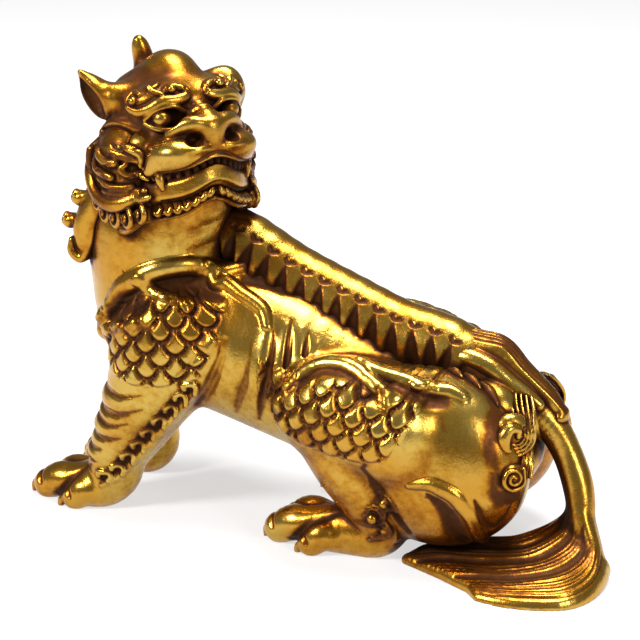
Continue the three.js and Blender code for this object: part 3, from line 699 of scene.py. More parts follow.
def spiral(centre, right, up, size, turns, girth, hand=1, rise=1.2, start=0.0):
    """Points of a curl that winds inwards and rises towards its middle."""
    centre, right, up = (np.array(v, float) for v in (centre, right, up))
    right, up = right / np.linalg.norm(right), up / np.linalg.norm(up)
    out = np.cross(right, up)
    points = []
    for k in range(12):
        share = k / 11
        angle = start + share * turns * 2 * math.pi * hand
        radius = size * (1 - 0.85 * share)
        across = right * math.cos(angle) * radius + up * math.sin(angle) * radius
        place = centre + across + out * rise * share
        points.append((*place, girth * (1 - 0.25 * share)))
    return points


# the long lock runs down the spine and ends in a small rounded curl
rump.roll([(42, 0, 65.5, 5.2), (52, 0, 64.5, 5.4), (58.5, 0, 64, 5.0), (64, 0, 59, 4.6),
           (69.5, 0, 54.5, 4.2), (74, 0, 51, 3.6), (77.4, 0, 47.6, 2.9)], melt=1.5)
rump.roll([(60, 0, 52, 9), (67, 0, 46, 8), (72, 0, 42, 5)], melt=1.5)
rump.egg((78.0, 0, 46.2), (2.4, 4.0, 2.6), melt=0.8)
# its hair is combed in seven fine lines, fanned round it at a share of a turn from each other
LONG_LOCK = ((44, 65.5, 5.2), (52, 64.5, 5.4), (58.5, 64, 5), (64, 59, 4.6), (69.5, 54.5, 4.2),
             (75, 50.3, 3.4), (79, 47, 2.4))
for number in range(-3, 4):
    lean = number * 0.26
    line = [(x + r * 0.5, math.sin(lean) * r, z + math.cos(lean) * r * 0.9, 0.42) for x, z, r in LONG_LOCK]
    rump.score(line, 0.8)
    rump.stain(rump.settle([(*p[:3], 0.42) for p in smooth_line(line, 3)]), 0.16)
for side in SIDES:
    rump.egg(side_of([(58, -9, 47)], side)[0], (11, 9, 11), melt=2.0)
    rump.egg(side_of([(62, -14.5, 38)], side)[0], (8.5, 7.5, 10), melt=2.0)
    rump.roll(side_of([(40, -5, 60, 2.4), (49, -6, 62.8, 3.3), (57, -6, 60.8, 3.3), (63.5, -6, 56.5, 2.9),
                       (68.5, -6.2, 53.6, 2.5), (72.5, -6, 51, 1.8)], side), melt=1.0)
    # strands hang from the roll and wind round to the bulb of the first curl
    middle = np.array([68.4, -18.6, 46.0])
    right, up = np.array([0.80, 0.6, 0]), np.array([-0.1, 0.13, 0.98])
    out = np.cross(right, up)
    rump.egg(side_of([middle - out * 1.2], side)[0], (6.3, 3.4, 6.3), turned(yaw=side * -37), melt=0.6)

    def strand_line(size, girth, count):
        """The first points of one strand of the curl, which turns at a distance from the middle."""
        angles = np.radians((12, -20, -52, -84, -116, -148))
        turn = [middle + right * math.cos(a) * size + up * math.sin(a) * size + out * 1.5 for a in angles]
        line = [(61.6 + 1.5 * size, -8.8 - 0.1 * size, 54.6, girth * 0.8),
                (63.4 + 1.5 * size, -12.8, 51.6, girth),
                *[(*p, girth) for p in turn]]
        return side_of(line[:count], side)

    for size in (2.0, 3.1, 4.2, 5.3, 6.4):
        count = 5 + round(size * 0.6)
        rump.roll(strand_line(size, 0.62, count), melt=0.3)
        if size < 6:
            groove = rump.settle(smooth_line(strand_line(size + 0.55, 0.36, count), 4))
            rump.score(groove, 0.45, steps=1, settle=False)
            rump.stain(groove, 0.24)
    bulb = ((0.6, -5.8, 0.6, 1.0), (-2.8, -4.2, 1.6, 1.7), (-3.6, -0.6, 2.2, 2.2), (-1.8, 2.2, 2.4, 1.9),
            (0.8, 1.6, 2.4, 1.3), (0.9, -0.4, 2.2, 0.9))
    bulb = [(*(middle + right * a + up * b + out * c), radius) for a, b, c, radius in bulb]
    rump.roll(side_of(bulb, side), melt=0.3)
    # three strands go on to the second curl, which is wound tight
    for number in range(3):
        strand = [(73.4 - 1.2 * number, -16 - 0.4 * number, 42, 0.6),
                  (74.8 - 1.3 * number, -19.4, 38.4, 0.75), (75.2 - 1.3 * number, -21.4, 34.6, 0.75)]
        rump.roll(side_of(strand, side), melt=0.15)
    rump.egg(side_of([(69.6, -22.6, 34.4)], side)[0], (4.2, 3.2, 4.2), turned(yaw=side * -41), melt=0.4)
    coil_seat = ((70.8, -24.6, 34.6), (0.75, 0.66, 0), (-0.08, 0.1, 0.99))
    coil = spiral(*coil_seat, size=4.1, turns=2.0, girth=0.8, hand=-1, rise=0.8, start=0.6)
    rump.roll(side_of(coil, side), melt=0.12, steps=3)
    furrow = spiral(*coil_seat, size=3.2, turns=1.7, girth=0.5, hand=-1, rise=0.8, start=0.6)
    rump.stain(rump.settle(side_of([(*p[:3], 0.45) for p in furrow], side)), 0.26)
    # the hollows beside the curls are left dark
    for dark in ([(60.0, -16, 52, 1.6), (60.2, -20.5, 47, 1.8), (61.5, -23.5, 42, 2.0), (64, -25, 39, 2.0)],
                 [(64.5, -26.5, 36, 1.4), (65.0, -27, 31, 1.8), (67.5, -25, 28, 2.0), (71, -22, 28, 2.0)],
                 [(75, -8, 44, 2.4), (76, -10, 38, 2.6), (75, -12, 32, 2.6)]):
        rump.stain(side_of(dark, side), 0.3)
        body.stain(body.settle(side_of(smooth_line(dark, 3), side)), 0.3)
    # the last fingers of the crest run on down the side of the rump
    for x, y, z in ((47.2, -13, 62.0), (51.6, -13.4, 58.0), (56.0, -14, 54.0)):
        drop = [(x - 1.4, y + 2, z + 3.4, 0.5), (x - 0.4, y, z + 0.8, 1.2), (x + 0.6, y - 1.6, z - 2.0, 1.8),
                (x + 1.2, y - 2.4, z - 4.2, 1.9)]
        finger = [(x + 0.6, y + 2.4, z + 3.6, 1.2), (x + 2.0, y, z + 0.2, 1.5),
                  (x + 3.0, y - 1.6, z - 2.8, 0.9), (x + 3.4, y - 2.4, z - 4.6, 0.4)]
        for home in (rump, body):
            home.stain(body.settle(side_of(smooth_line(drop, 3), side)), 0.32)
        rump.roll(body.settle(side_of(smooth_line(finger, 4), side), -0.2), melt=0.5, steps=1)
cast(rump, "rump_locks")

# The head: turned over the left shoulder and a little raised, modelled about its own middle. It has a domed
# crown with one blunt horn, cupped ears, curled brows, bead eyes, a broad nose and bared teeth. It is of
# bronze, cast with the neck.
turn, lift = math.radians(53), math.radians(13)
level = np.array([math.sin(turn), -math.cos(turn), 0])
to_right = np.cross(level, (0, 0, 1))
forward = level * math.cos(lift) + np.array([0, 0, math.sin(lift)])
HEAD_SEAT = (np.array([to_right, forward, np.cross(to_right, forward)]), np.array([-42.8, -11.2, 119.0]))


def lips(x, middle, fall, spread=6.5):
    """Height of a line of the mouth, which arches up under the nose and levels out at the corners."""
    return middle - fall * (1 - np.exp(-(x / spread) ** 2))


def lip_front(x):
    """How far forward the lips stand, round the muzzle."""
    return 26.4 - 0.045 * x * x


head = Wax((-30, -24, -22), (30, 34, 39), grain=0.34, seat=HEAD_SEAT)
head.egg((0, -1, 5.5), (17.5, 17.5, 16))
head.egg((0, 8.0, 14.0), (15.2, 10.4, 9.0), melt=4)
head.egg((3, -6, 16.5), (13.5, 9.5, 9.5), melt=4)
head.egg((0.3, 2.5, 22.8), (8.6, 9.4, 7.6), melt=5)
head.roll([(0.5, -9.5, 19, 6.0), (0.9, -11.5, 26, 3.7), (2.0, -11.0, 31.6, 2.8), (2.6, -10.4, 33.6, 1.9)],
          melt=3)
head.egg((0, 11, 4), (14.5, 11, 10), melt=3)
for side in SIDES:
    head.egg((side * 15.5, -3, -3), (9.5, 12.5, 15.5), melt=3)
    head.egg((side * 14.5, 8.0, 3.6), (5.6, 6.2, 4.6), melt=1.5)
head.egg((0, 14.5, -1), (16.0, 13.0, 7.5), melt=3)
# the muzzle swells on both sides of the nose, and its corners turn down over the jaw
for side in SIDES:
    head.egg((side * 8.8, 18.4, 0.2), (8.2, 8.6, 5.2), melt=2.5)
    head.roll([(side * 5, 23.2, 1.0, 2.9), (side * 10.5, 20.6, -0.2, 3.3), (side * 14.2, 16.6, -2.2, 3.0),
               (side * 15.6, 13.6, -4.4, 2.2)], melt=2)
    # the bone of the brow
    head.egg((side * 8.6, 12.0, 16.0), (9.8, 6.4, 5.0), turned(yaw=side * -16), melt=3)
# the nose is broad, with a ridge that rises round each nostril
head.egg((0, 20.0, 6.4), (9.0, 8.0, 4.8), melt=1.5)
head.roll([(0, 14, 12.5, 3.4), (0, 20.5, 10.8, 3.6), (0, 25.6, 7.4, 3.4)], melt=2)
for side in SIDES:
    head.roll([(side * 1.6, 26.4, 7.6, 2.2), (side * 5.8, 25.0, 8.5, 2.3), (side * 9.8, 21.4, 7.0, 2.3),
               (side * 11.2, 19.8, 3.8, 1.7)], melt=1.0)
    head.egg((side * 5.2, 25.2, 0.8), (5.4, 3.2, 1.9), melt=1.0)
head.egg((0, 25.4, 4.4), (3.8, 3.2, 4.2), melt=1.5)
for side in SIDES:
    head.egg((side * 6.1, 26.4, 3.7), (2.6, 4.4, 2.1), turned(yaw=side * -20), melt=0.6, hollow=True)
    head.stain([(side * 6.2, 23.6, 3.7, 2.2), (side * 6.6, 22.6, 3.7, 2.2)], 0.32)
# the lower jaw is a thick arched lip over the chin
reach = np.linspace(-14.6, 14.6, 13)
for drop in (0, 2.4):
    lip = [(x, lip_front(x) - 2.7 - 0.010 * x * x, lips(x, -6.0 - drop, 3.6), 2.0 + 0.03 * abs(x))
           for x in reach]
    head.roll(lip, melt=1.2)
head.egg((0, 7.5, -9.0), (15.0, 13.0, 5.2), melt=2.5)
# the gap of the mouth, and a line engraved above it in the upper lip
gap = [(x, lip_front(x) + 0.6, lips(x, -3.2, 3.0), 1.0) for x in reach]
slices, distance = head.along(smooth_line(gap, 3), 5, flat=((0, 1, 0), 3.4))
head.cut(slices, distance, 0.3)
head.score([(x, lip_front(x) + 1, lips(x, -0.7, 3.0), 0.4) for x in reach], 0.7)
head.stain(head.settle([(x, lip_front(x) + 1, lips(x, -0.7, 3.0), 0.45) for x in reach]), 0.14)
head.score([(x, lip_front(x), lips(x, -10.8, 4.8, 6.0), 0.7) for x in reach], 0.9)
head.stain([(x, lip_front(x) - 2.2, lips(x, -3.2, 3.0), 1.7) for x in reach], 0.2)
for x in np.arange(-12.2, 12.4, 2.2):
    front = lip_front(x) - 1.9
    head.roll([(x, front - 1.6, lips(x, -2.7, 3.0), 1.0), (x, front, lips(x, -3.2, 3.0), 0.95),
               (x, front - 0.1, lips(x, -3.8, 3.0), 0.9)], melt=0.15, steps=1)
for side in SIDES:
    head.roll([(side * 13.8, 16.8, -4.4, 1.3), (side * 14.4, 16.9, -6.8, 1.5),
               (side * 14.0, 17.2, -9.8, 0.7)], melt=0.3)
    head.stain([(side * 15.6, 14.8, -5.4, 1.2), (side * 16.2, 14.2, -9.0, 1.2)], 0.26)
# eyes in deep sockets, each with lids, under a flat ribbon of brow that curls up at both ends
for side in SIDES:
    brow = [(8.0, 18.6, 18.2, 0.9), (9.4, 18.0, 19.2, 1.1), (7.2, 18.4, 20.8, 1.3), (4.0, 19.4, 19.4, 1.5),
            (3.8, 20.4, 16.8, 1.7), (6.8, 20.6, 15.6, 1.9), (11.4, 18.6, 15.4, 1.9), (14.4, 15.6, 13.6, 1.9),
            (16.6, 12.4, 13.4, 1.7), (17.2, 10.0, 15.8, 1.4), (15.8, 10.6, 18.2, 1.1),
            (14.6, 12.6, 17.0, 0.9)]
    brow = head.settle(smooth_line([(side * x, y, z, r) for x, y, z, r in brow], 4), 0.1)
    head.roll(brow, melt=0.4, steps=1)
    line = head.settle(brow[6:-6] * (1, 1, 1, 0) + (0, 0, 0.2, 0.36))
    head.score(line, 0.75, steps=1, settle=False)
    head.stain(line, 0.16)
    for lock in ([(12.6, 14.5, 18.0, 0.9), (10.6, 15.0, 20.0, 0.8), (10.2, 14.0, 22.4, 0.5)],
                 [(10.6, 17.6, 17.4, 0.9), (12.6, 15.6, 18.6, 0.8), (13.4, 13.4, 20.8, 0.5)]):
        lock = head.settle(smooth_line([(side * p[0], *p[1:]) for p in lock], 4), -0.1)
        head.roll(lock, melt=0.5, steps=1)
    for eye in ((8.0, 18.4, 18.6), (15.2, 11.6, 16.2)):
        head.egg(head.settle([(side * eye[0], *eye[1:])], -0.2)[0], (1.3, 1.3, 1.3), melt=0.3)
    head.egg((side * 10.2, 19.4, 10.6), (5.6, 4.8, 3.7), turned(yaw=side * -24), melt=0.9, hollow=True)
    head.stain([(side * 6.4, 17.6, 11.6, 2.0), (side * 10.0, 17.0, 12.8, 2.2),
                (side * 13.6, 14.2, 11.0, 2.0)], 0.17)
    head.egg((side * 11.2, 16.6, 10.6), (2.9, 3.0, 2.8), melt=0.25)
    head.roll([(side * 4.8, 19.4, 11.8, 0.7), (side * 8.4, 19.8, 14.0, 0.8), (side * 13.0, 17.8, 13.4, 0.8),
               (side * 15.6, 14.8, 11.0, 0.8)], melt=0.5)
    head.roll([(side * 5.2, 19.4, 9.6, 0.7), (side * 9.2, 19.6, 7.2, 0.8), (side * 13.4, 17.4, 7.8, 0.8),
               (side * 15.8, 14.6, 9.8, 0.7)], melt=0.5)
    head.stain([(side * 16.2, 12.0, 8.6, 1.2), (side * 19.0, 8.0, 10.0, 2.0),
                (side * 21.0, 3.0, 10.4, 2.4)], 0.24)
for z, y in ((13.4, 21.2), (11.4, 23.2)):
    head.score([(-3.2, y - 1, z + 0.3, 0.6), (0, y, z, 0.7), (3.2, y - 1, z + 0.3, 0.6)], 0.8)


def model_ear(root, middle, tall, out, hollow):
    """A leaf-shaped cup with a thick rim. Its hollow is a tapered roll of x, y, z and radius."""
    root, middle, tall, out = (np.array(p, float) for p in (root, middle, tall, out))
    tall, out = tall / np.linalg.norm(tall), out / np.linalg.norm(out)
    wide = np.cross(out, tall)
    axes = np.column_stack([tall, wide, out])
    head.roll([(*root, 5.4), (*(root * 0.5 + middle * 0.5), 4.8), (*(middle - out * 3.2), 4.0)], melt=3)
    head.egg(middle - out * 1.6 - tall * 0.6, (7.2, 4.7, 4.4), axes, melt=1.2)
    head.roll([(*(middle - out * 2.5 + tall * 1), 3.6), (*(middle - out * 1.6 + tall * 5.0), 2.4),
               (*(middle - out * 0.8 + tall * 8.4), 0.9)], melt=1.2)
    slices, coords = head.window(middle - 14, middle + 14)
    beyond = sum((c - np.float32(m)) * np.float32(o) for c, m, o in zip(coords, middle, out))
    head.cut(slices, -(beyond - 0.4), 0.8)
    head.roll(hollow, melt=0.5, hollow=True)
    head.stain([(*(np.array(p[:3]) - out * 1.0), p[3] + 0.2) for p in hollow], 0.3)


model_ear((11.5, 0.5, 17.0), (22.9, -4.4, 18.6), (6, -0.7, 14), (0.90, 0.25, -0.36),
          [(25.4, -5.2, 24.0, 0.9), (24.8, -5.0, 21.4, 2.2), (23.2, -4.4, 17.4, 3.3),
           (21.6, -4.0, 13.8, 2.0)])
# the far ear folds over and hangs
head.roll([(-9, 3, 17, 4.5), (-13.5, 5.4, 20.0, 3.2), (-17.0, 6.6, 19.4, 3.8), (-18.4, 7.2, 15.6, 3.7),
           (-17.4, 8.4, 11.6, 2.4)], melt=2)
head.roll([(-20.6, 3.6, 20.6, 1.4), (-22.2, 4.2, 16.8, 2.0), (-21.0, 5.6, 12.6, 1.2)], melt=0.6, hollow=True)
head.stain([(-20.6, 4.0, 20.2, 1.6), (-21.6, 4.6, 16.8, 2.2), (-20.6, 6.0, 12.8, 1.5)], 0.3)
cast(head, "head")

# The mane: flame curls on the cheeks, a broad roll of hair wound under them, combed hair at the back of the
# head and a fringe of small curls along the jaw. They are rolled in wax, laid on the head and cast with it.
mane = Wax((-32, -32, -36), (32, 28, 16), grain=0.38, seat=HEAD_SEAT)
mane.egg((0, -12, -3), (17, 12.5, 18))
for side in SIDES:
    mane.egg((side * 15.5, -3, -4), (9.0, 12.3, 14.8), melt=3)

    def on_cheek(points, high=0.5):
        """Points of x, y, z and radius given on the right cheek, laid on this side's skin."""
        return head.settle([(side * p[0], *p[1:]) for p in smooth_line(points, 4)], -high)

    mane.stain([(side * 19, -12, 4, 9), (side * 22, -2, 2, 8), (side * 21, 6, -2, 6.5),
                (side * 22, -2, -9, 7.5)], 0.17)
    # flames rise from the corner of the mouth and lick back over the cheek
    for flame in (
        [(15, 14.6, -3.8, 0.8), (18.5, 11.8, -1.4, 1.5), (20.6, 8.4, 0.6, 1.6), (22.4, 4.4, 2.2, 1.4),
         (23, 3.6, 4.8, 0.6)],
        [(15.5, 14.0, -0.8, 1.3), (18.6, 11.6, 2.4, 1.4), (20.4, 8.4, 3.8, 1.1), (21.2, 6.6, 5.2, 0.5)],
        [(16.5, 14.0, -5.6, 0.6), (19.2, 11.4, -5.2, 1.1), (20.8, 8.6, -5.0, 1.2), (21.6, 6.6, -3.0, 1.2),
         (20.8, 8.4, -1.6, 1.0)],
        [(22.0, 5.0, -1.0, 1.4), (23.4, 2.2, -0.6, 1.4), (24.0, -1.0, 1.6, 1.2), (24.0, -1.6, 4.4, 0.5)],
        [(22.6, 3.2, -5.0, 1.3), (23.8, 0.4, -3.6, 1.4), (24.2, -2.8, -2.0, 1.2), (24.2, -4.0, 0.8, 0.5)],
        [(20.0, 8.6, -8.6, 1.2), (21.6, 5.4, -8.4, 1.3), (22.8, 1.6, -7.4, 1.3), (23.6, -1.8, -5.0, 0.9)],
        [(18.0, 12.4, -9.8, 1.2), (20.6, 8.6, -10.8, 1.4), (22.2, 4.0, -10.6, 1.4), (23.6, -1.0, -8.8, 1.0)],
        [(20.6, -6.0, 8.0, 1.2), (22.4, -8.0, 3.0, 1.6), (23.2, -8.6, -2.0, 1.5), (24.0, -6.6, -6.4, 1.1)],
        [(16.0, -14.0, 7.0, 1.4), (18.6, -14.6, 1.0, 1.9), (20.4, -14.0, -5.0, 1.9),
         (21.8, -11.0, -10.0, 1.4)],
    ):
        lock = on_cheek(flame)
        mane.roll(lock, melt=0.5, steps=1)
        mane.score(mane.settle(lock[2:-2] * (1, 1, 1, 0) + (0, 0, 0, 0.34)), 0.5, steps=1, settle=False)
    # a broad roll winds under the cheek
    broad = [(22.0, -12.0, 0.0, 1.4), (24.2, -9.4, -4.6, 2.0), (24.2, -5.6, -10.0, 2.4),
             (23.4, -0.6, -12.8, 2.6), (21.8, 4.6, -13.4, 2.5), (19.0, 10.4, -12.8, 2.0),
             (16.6, 13.8, -11.6, 0.8)]
    broad = on_cheek(broad, 0.9)
    mane.roll(broad, melt=0.6, steps=1)
    for shift in (-0.9, 0.9):
        line = mane.settle(broad[1:-2] * (1, 1, 1, 0) + (0, 0, shift, 0.34))
        mane.score(line, 0.6, steps=1, settle=False)
        mane.stain(line, 0.16)
    # small curls hang from the roll
    for x, y, z, size in ((19.0, 10.6, -16.8, 2.9), (21.0, 5.4, -18.0, 3.1), (22.4, 0.0, -17.6, 3.2),
                          (23.0, -5.6, -16.0, 3.2), (22.6, -10.8, -12.6, 3.2)):
        mane.egg((side * (x - 1.4), y, z), (2.2, size * 0.95, size * 0.95), melt=0.5)
        curl = spiral((side * x, y, z), (0, 1, 0.1), (0, -0.1, 1), size, turns=1.25, girth=0.95, hand=-1,
                      rise=1.2 * side, start=0.9)
        mane.roll(curl, melt=0.25, steps=2)
        furrow = spiral((side * (x + 0.4), y, z), (0, 1, 0.1), (0, -0.1, 1), size * 0.68, turns=1.1,
                        girth=0.5, hand=-1, rise=1.2 * side, start=0.9)
        mane.stain([(*p[:3], 0.5) for p in furrow], 0.2)
    # combed hair falls from the crown to the nape
    for number in range(6):
        x = side * (1.5 + 3.0 * number)
        fall = [(x * 0.8, -26, 11 - 0.5 * number, 0.8), (x, -28, 4, 1.4), (x * 1.06, -28, -5, 1.7),
                (x * 1.08, -27, -13, 1.6), (x * 1.04, -24, -19, 1.0)]
        strand = mane.settle(smooth_line(fall, 4), -0.2)
        mane.roll(strand, melt=0.5, steps=1)
        mane.score(mane.settle(strand[2:-2] * (1, 1, 1, 0) + (0, 0, 0, 0.36)), 0.5, steps=1, settle=False)
        mane.stain(mane.settle(strand * (1, 1, 1, 0) + (side * 1.5, 0, 0, 0.6)), 0.14)
    # the fringe under the jaw
    for number in range(7):
        x = side * (1.4 + 2.15 * number)
        y = lip_front(x) - 2.6
        z = lips(x, -11.4, 4.4, 6.5)
        curl = [(x - side * 0.5, y - 1.6, z + 1.2, 0.9), (x, y + 0.1, z - 0.1, 1.0),
                (x + side * 0.9, y - 0.1, z - 1.4, 0.95), (x + side * 1.9, y - 0.5, z - 1.0, 0.6)]
        mane.roll(curl, melt=0.3)
    mane.stain([(side * x, lip_front(x) - 3.4, lips(x, -12.2, 4.6, 6.5), 1.3) for x in (0, 4, 8, 12, 15)],
               0.2)
    edge = [(side * x, lip_front(x) - 4.8, lips(x, -14.0, 4.6, 7), 0.9) for x in (0, 4, 8, 12, 15, 17)]
    mane.roll(edge, melt=0.5)
    mane.roll([(side * 16.4, 6, -18.8, 1.1), (side * 18.6, 1, -21.0, 1.6), (side * 18.0, -5, -22, 1.7),
               (side * 15.6, -10, -22, 1.4)], melt=0.6)
    mane.stain([(side * 3, 17, -13.6, 3.4), (side * 1, 13, -16, 4.4)], 0.3)
cast(mane, "mane")

# The nape: four locks of hair hang down the back of the neck. Each has strands that hook back up at the end,
# and two small coiled curls over the hook. They are rolled in wax and cast with the neck.
nape = Wax((-94, -34, 72), (-48, 20, 122), grain=0.4)
for number in range(4):
    y = 7.0 - 8.6 * number
    back = 0.7 * number - 2.4
    nape.roll([(-57 - back, y, 112, 3.2), (-63 - back, y, 106, 3.8), (-67.4 - back, y, 100, 4.2),
               (-70.2 - back, y, 94.4, 4.4), (-70.6 - back, y, 90, 4.0), (-71.4 - back, y, 87.0, 2.8)],
              melt=0.8)
    # the strands of a lock sweep down, hook back and up
    for spread in (-2.3, -0.8, 0.8, 2.3):
        wide = y + spread * 0.9
        nape.roll([(-63.5 - back, wide, 105, 0.9), (-66.6 - back, wide, 96, 1.1),
                   (-68.0 - back, wide, 90, 1.3), (-69.8 - back - 0.3 * abs(spread), wide, 85.2, 1.5),
                   (-72.4 - back, wide, 84.0, 1.8), (-74.8 - back, wide, 86.0, 1.6),
                   (-74.8 - back, wide, 89.4, 1.1)], melt=0.4)
    nape.stain([(-66 - back, y, 103, 2.6), (-71.6 - back, y, 92, 2.8), (-76 - back, y, 85.6, 2.2)], 0.13)
    for place, size in (((-76.4 - back, y + 0.6, 94.8), 2.5), ((-72.2 - back, y - 0.4, 102.8), 2.5)):
        nape.roll([(place[0] + 5, place[1], place[2] + 1.5, 2.2), (*place, 1.9)], melt=0.8)
        nape.egg(place, (size, size * 1.05, size), melt=0.7)
        coil_seat = ((place[0] - 0.9, *place[1:]), (0, -1, 0.1), (-0.1, 0.1, 1))
        coil = spiral(*coil_seat, size=size * 0.9, turns=1.3, girth=0.85, rise=1.6, start=0.6)
        nape.roll(coil, melt=0.15, steps=2)
        furrow = spiral(*coil_seat, size=size * 0.62, turns=1.1, girth=0.5, rise=1.4, start=0.6)
        nape.stain([(p[0] - 0.2, *p[1:3], 0.45) for p in furrow], 0.2)
cast(nape, "nape_locks")

# The finish: the bronze was fire-gilded and burnished. The raised forms are bright, and the hollows keep a
# dark red-brown tone of patina, so every mesh carries how deep each point lies among its neighbours. The
# same
# value carries painted shade too: wide sheltered places and surfaces that face down are darkened as if in
# shade.
# short reaches give the patina of the hollows, the wide ones a painted shade over sheltered places
PATINA_AND_SHADE_REACHES = ((0.6, 0.30), (1.4, 0.32), (3.2, 0.24), (7.0, 0.10), (12.0, 0.03))
# surfaces that face down get a painted shade
UNDERSIDE_PAINTED_SHADE = 0.09
for name, (home, points, facing) in blocks.items():
    mesh = bpy.data.objects[name].data
    depth = np.zeros(len(points), np.float32)
    # patina in the narrow hollows, and painted shade where the wider probes find the casting close by
    for reach, share in PATINA_AND_SHADE_REACHES:
        probe = points + facing * reach
        clear = np.full(len(points), FAR, np.float32)
        for other in {id(block[0]): block[0] for block in blocks.values()}.values():
            axes, seat = other.seat
            clear = np.minimum(clear, other.sample((probe - seat) @ axes.T))
        depth += share * (1 - np.clip(clear / reach, 0, 1))
    # painted shade on the surfaces that face down
    depth += UNDERSIDE_PAINTED_SHADE * np.clip(-facing[:, 2], 0, 1)
    axes, seat = home.seat
    depth += home.stained((points - seat) @ axes.T)
    attribute = mesh.attributes.new("depth", "FLOAT", "POINT")
    attribute.data.foreach_set("value", depth)

gilt = bpy.data.materials.new("gilt_bronze")
gilt.use_nodes = True
nodes, links = gilt.node_tree.nodes, gilt.node_tree.links
shader = nodes["Principled BSDF"]
shader.inputs["Specular IOR Level"].default_value = 0.1


def node(kind, **settings):
    """A node of the finish, with its settings."""
    made = nodes.new(kind)
    for key, value in settings.items():
        setattr(made, key, value)
    return made


def clouds(scale, detail, rough=0.55):
    """A cloudy pattern fixed to the casting."""
    made = node("ShaderNodeTexNoise")
    made.inputs["Scale"].default_value = scale
    made.inputs["Detail"].default_value = detail
    made.inputs["Roughness"].default_value = rough
    links.new(spot.outputs["Object"], made.inputs["Vector"])
    return made


def sum_of(first, second, way="ADD"):
    """Two values put together. The second may be a plain number."""
    made = node("ShaderNodeMath", operation=way)
    links.new(first, made.inputs[0])
    if isinstance(second, (int, float)):
        made.inputs[1].default_value = second
    else:
        links.new(second, made.inputs[1])
    return made.outputs[0]


def ramp(value, stops):
    """Colours laid along a value."""
    made = node("ShaderNodeValToRGB")
    links.new(value, made.inputs["Fac"])
    band = made.color_ramp
    while len(band.elements) < len(stops):
        band.elements.new(0.5)
    for element, (at, colour) in zip(band.elements, stops):
        element.position = at
        element.color = (*colour, 1)
    return made.outputs["Color"]


def strength_of(pattern, strength):
    """A cloudy pattern as a value that swings about zero."""
    return sum_of(sum_of(pattern.outputs["Fac"], -0.5), strength, "MULTIPLY")


spot = node("ShaderNodeTexCoord")
depth = node("ShaderNodeAttribute", attribute_name="depth")
patches = clouds(38, 4)
drift = clouds(26, 2)
grain = clouds(420, 5, 0.65)
speck = clouds(1500, 3)
# the depth, which holds patina, stains and painted shade, with cloudy tone laid over it
patina_and_shade = sum_of(depth.outputs["Fac"], sum_of(strength_of(patches, 0.46), strength_of(grain, 0.3)))
# from bright gilding to the dark hollows and painted shade, once in a yellow gold and once in a redder one
HOLLOW_TONES = [(0.30, (0.080, 0.025, 0.005)), (0.5, (0.034, 0.011, 0.003))]
YELLOW_GOLD = [(0.0, (0.50, 0.33, 0.070)), (0.07, (0.44, 0.255, 0.036)), (0.15, (0.29, 0.130, 0.014)),
               (0.23, (0.145, 0.050, 0.008)), *HOLLOW_TONES]
RED_GOLD = [(0.0, (0.46, 0.235, 0.030)), (0.07, (0.40, 0.175, 0.016)), (0.15, (0.27, 0.095, 0.008)),
            (0.23, (0.135, 0.042, 0.006)), *HOLLOW_TONES]
blend = node("ShaderNodeMix", data_type="RGBA")
redness = node("ShaderNodeMapRange")
redness.inputs["From Min"].default_value = 0.42
redness.inputs["From Max"].default_value = 0.60
links.new(drift.outputs["Fac"], redness.inputs["Value"])
links.new(redness.outputs["Result"], blend.inputs["Factor"])
links.new(ramp(patina_and_shade, YELLOW_GOLD), blend.inputs["A"])
links.new(ramp(patina_and_shade, RED_GOLD), blend.inputs["B"])
links.new(blend.outputs["Result"], shader.inputs["Base Color"])
metal = ramp(patina_and_shade, [(0.0, (1, 1, 1)), (0.20, (0.95, 0.95, 0.95)), (0.30, (0.5, 0.5, 0.5))])
links.new(metal, shader.inputs["Metallic"])
gloss = ramp(sum_of(patina_and_shade, strength_of(speck, 0.2)),
             [(0.0, (0.24, 0.24, 0.24)), (0.25, (0.34, 0.34, 0.34)), (0.45, (0.60, 0.60, 0.60))])
links.new(gloss, shader.inputs["Roughness"])
bump = node("ShaderNodeBump")
bump.inputs["Strength"].default_value = 0.25
bump.inputs["Distance"].default_value = 0.0004
links.new(sum_of(grain.outputs["Fac"], sum_of(speck.outputs["Fac"], 0.4, "MULTIPLY")), bump.inputs["Height"])
links.new(bump.outputs["Normal"], shader.inputs["Normal"])
for name in blocks:
    bpy.data.objects[name].data.materials.append(gilt)

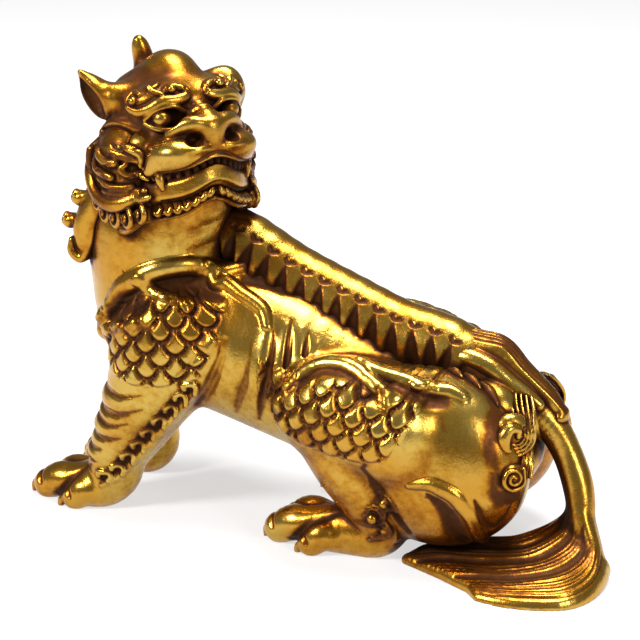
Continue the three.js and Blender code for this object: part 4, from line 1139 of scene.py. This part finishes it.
# The stage: a pale floor and a soft studio round the object, with broad lights that the metal can mirror.
floor_mesh = bpy.data.meshes.new("floor")
sheet = bmesh.new()
bmesh.ops.create_grid(sheet, x_segments=1, y_segments=1, size=4)
sheet.to_mesh(floor_mesh)
sheet.free()
floor = bpy.data.objects.new("floor", floor_mesh)
bpy.context.scene.collection.objects.link(floor)
paper = bpy.data.materials.new("paper")
paper.use_nodes = True
surface = paper.node_tree.nodes["Principled BSDF"].inputs
surface["Base Color"].default_value = (0.32, 0.32, 0.32, 1)
surface["Roughness"].default_value = 0.9
surface["Emission Color"].default_value = (1, 1, 1, 1)
surface["Emission Strength"].default_value = 0.62
floor_mesh.materials.append(paper)

world = bpy.data.worlds.new("studio")
bpy.context.scene.world = world
world.use_nodes = True
world.node_tree.nodes["Background"].inputs["Color"].default_value = (1, 1, 1, 1)
world.node_tree.nodes["Background"].inputs["Strength"].default_value = 0.24
bpy.context.scene.view_settings.view_transform = "Standard"


def soft_light(name, place, size, power):
    """A square of soft light that looks at the middle of the beast."""
    lamp = bpy.data.lights.new(name, "AREA")
    lamp.shape = "RECTANGLE"
    lamp.size, lamp.size_y = size
    lamp.energy = power
    light = bpy.data.objects.new(name, lamp)
    bpy.context.scene.collection.objects.link(light)
    light.location = place
    way = np.array([0, 0, 0.06]) - place
    yaw = math.atan2(way[1], way[0]) - math.pi / 2
    light.rotation_euler = (math.acos(-way[2] / np.linalg.norm(way)), 0, yaw)


soft_light("key", (-0.55, -0.75, 0.75), (0.22, 0.22), 14)
soft_light("fill", (0.85, -0.45, 0.5), (0.16, 0.4), 4)
soft_light("top", (0.05, 0.1, 0.95), (0.6, 0.3), 15)

# The camera stands a little above and to the beast's left, where the photograph was taken. Its focal length
# is given in pixels of the picture.
AZIMUTH, ELEVATION, DISTANCE = math.radians(22), math.radians(20), 0.62
PICTURE_WIDTH, FOCAL_PIXELS, SENSOR_WIDTH = 640, 2000, 36
back = np.array([math.sin(AZIMUTH), -math.cos(AZIMUTH), math.tan(ELEVATION)]) * math.cos(ELEVATION)
aim = (np.array([0, 0, 66.0]) + SHIFT) / 1000
lens = bpy.data.cameras.new("camera")
lens.sensor_width = SENSOR_WIDTH
lens.lens = SENSOR_WIDTH * FOCAL_PIXELS / PICTURE_WIDTH
lens.clip_start, lens.clip_end = 0.01, 20
camera = bpy.data.objects.new("camera", lens)
bpy.context.scene.collection.objects.link(camera)
camera.location = aim + back * DISTANCE
camera.rotation_euler = (math.pi / 2 - ELEVATION, 0, AZIMUTH)
bpy.context.scene.camera = camera
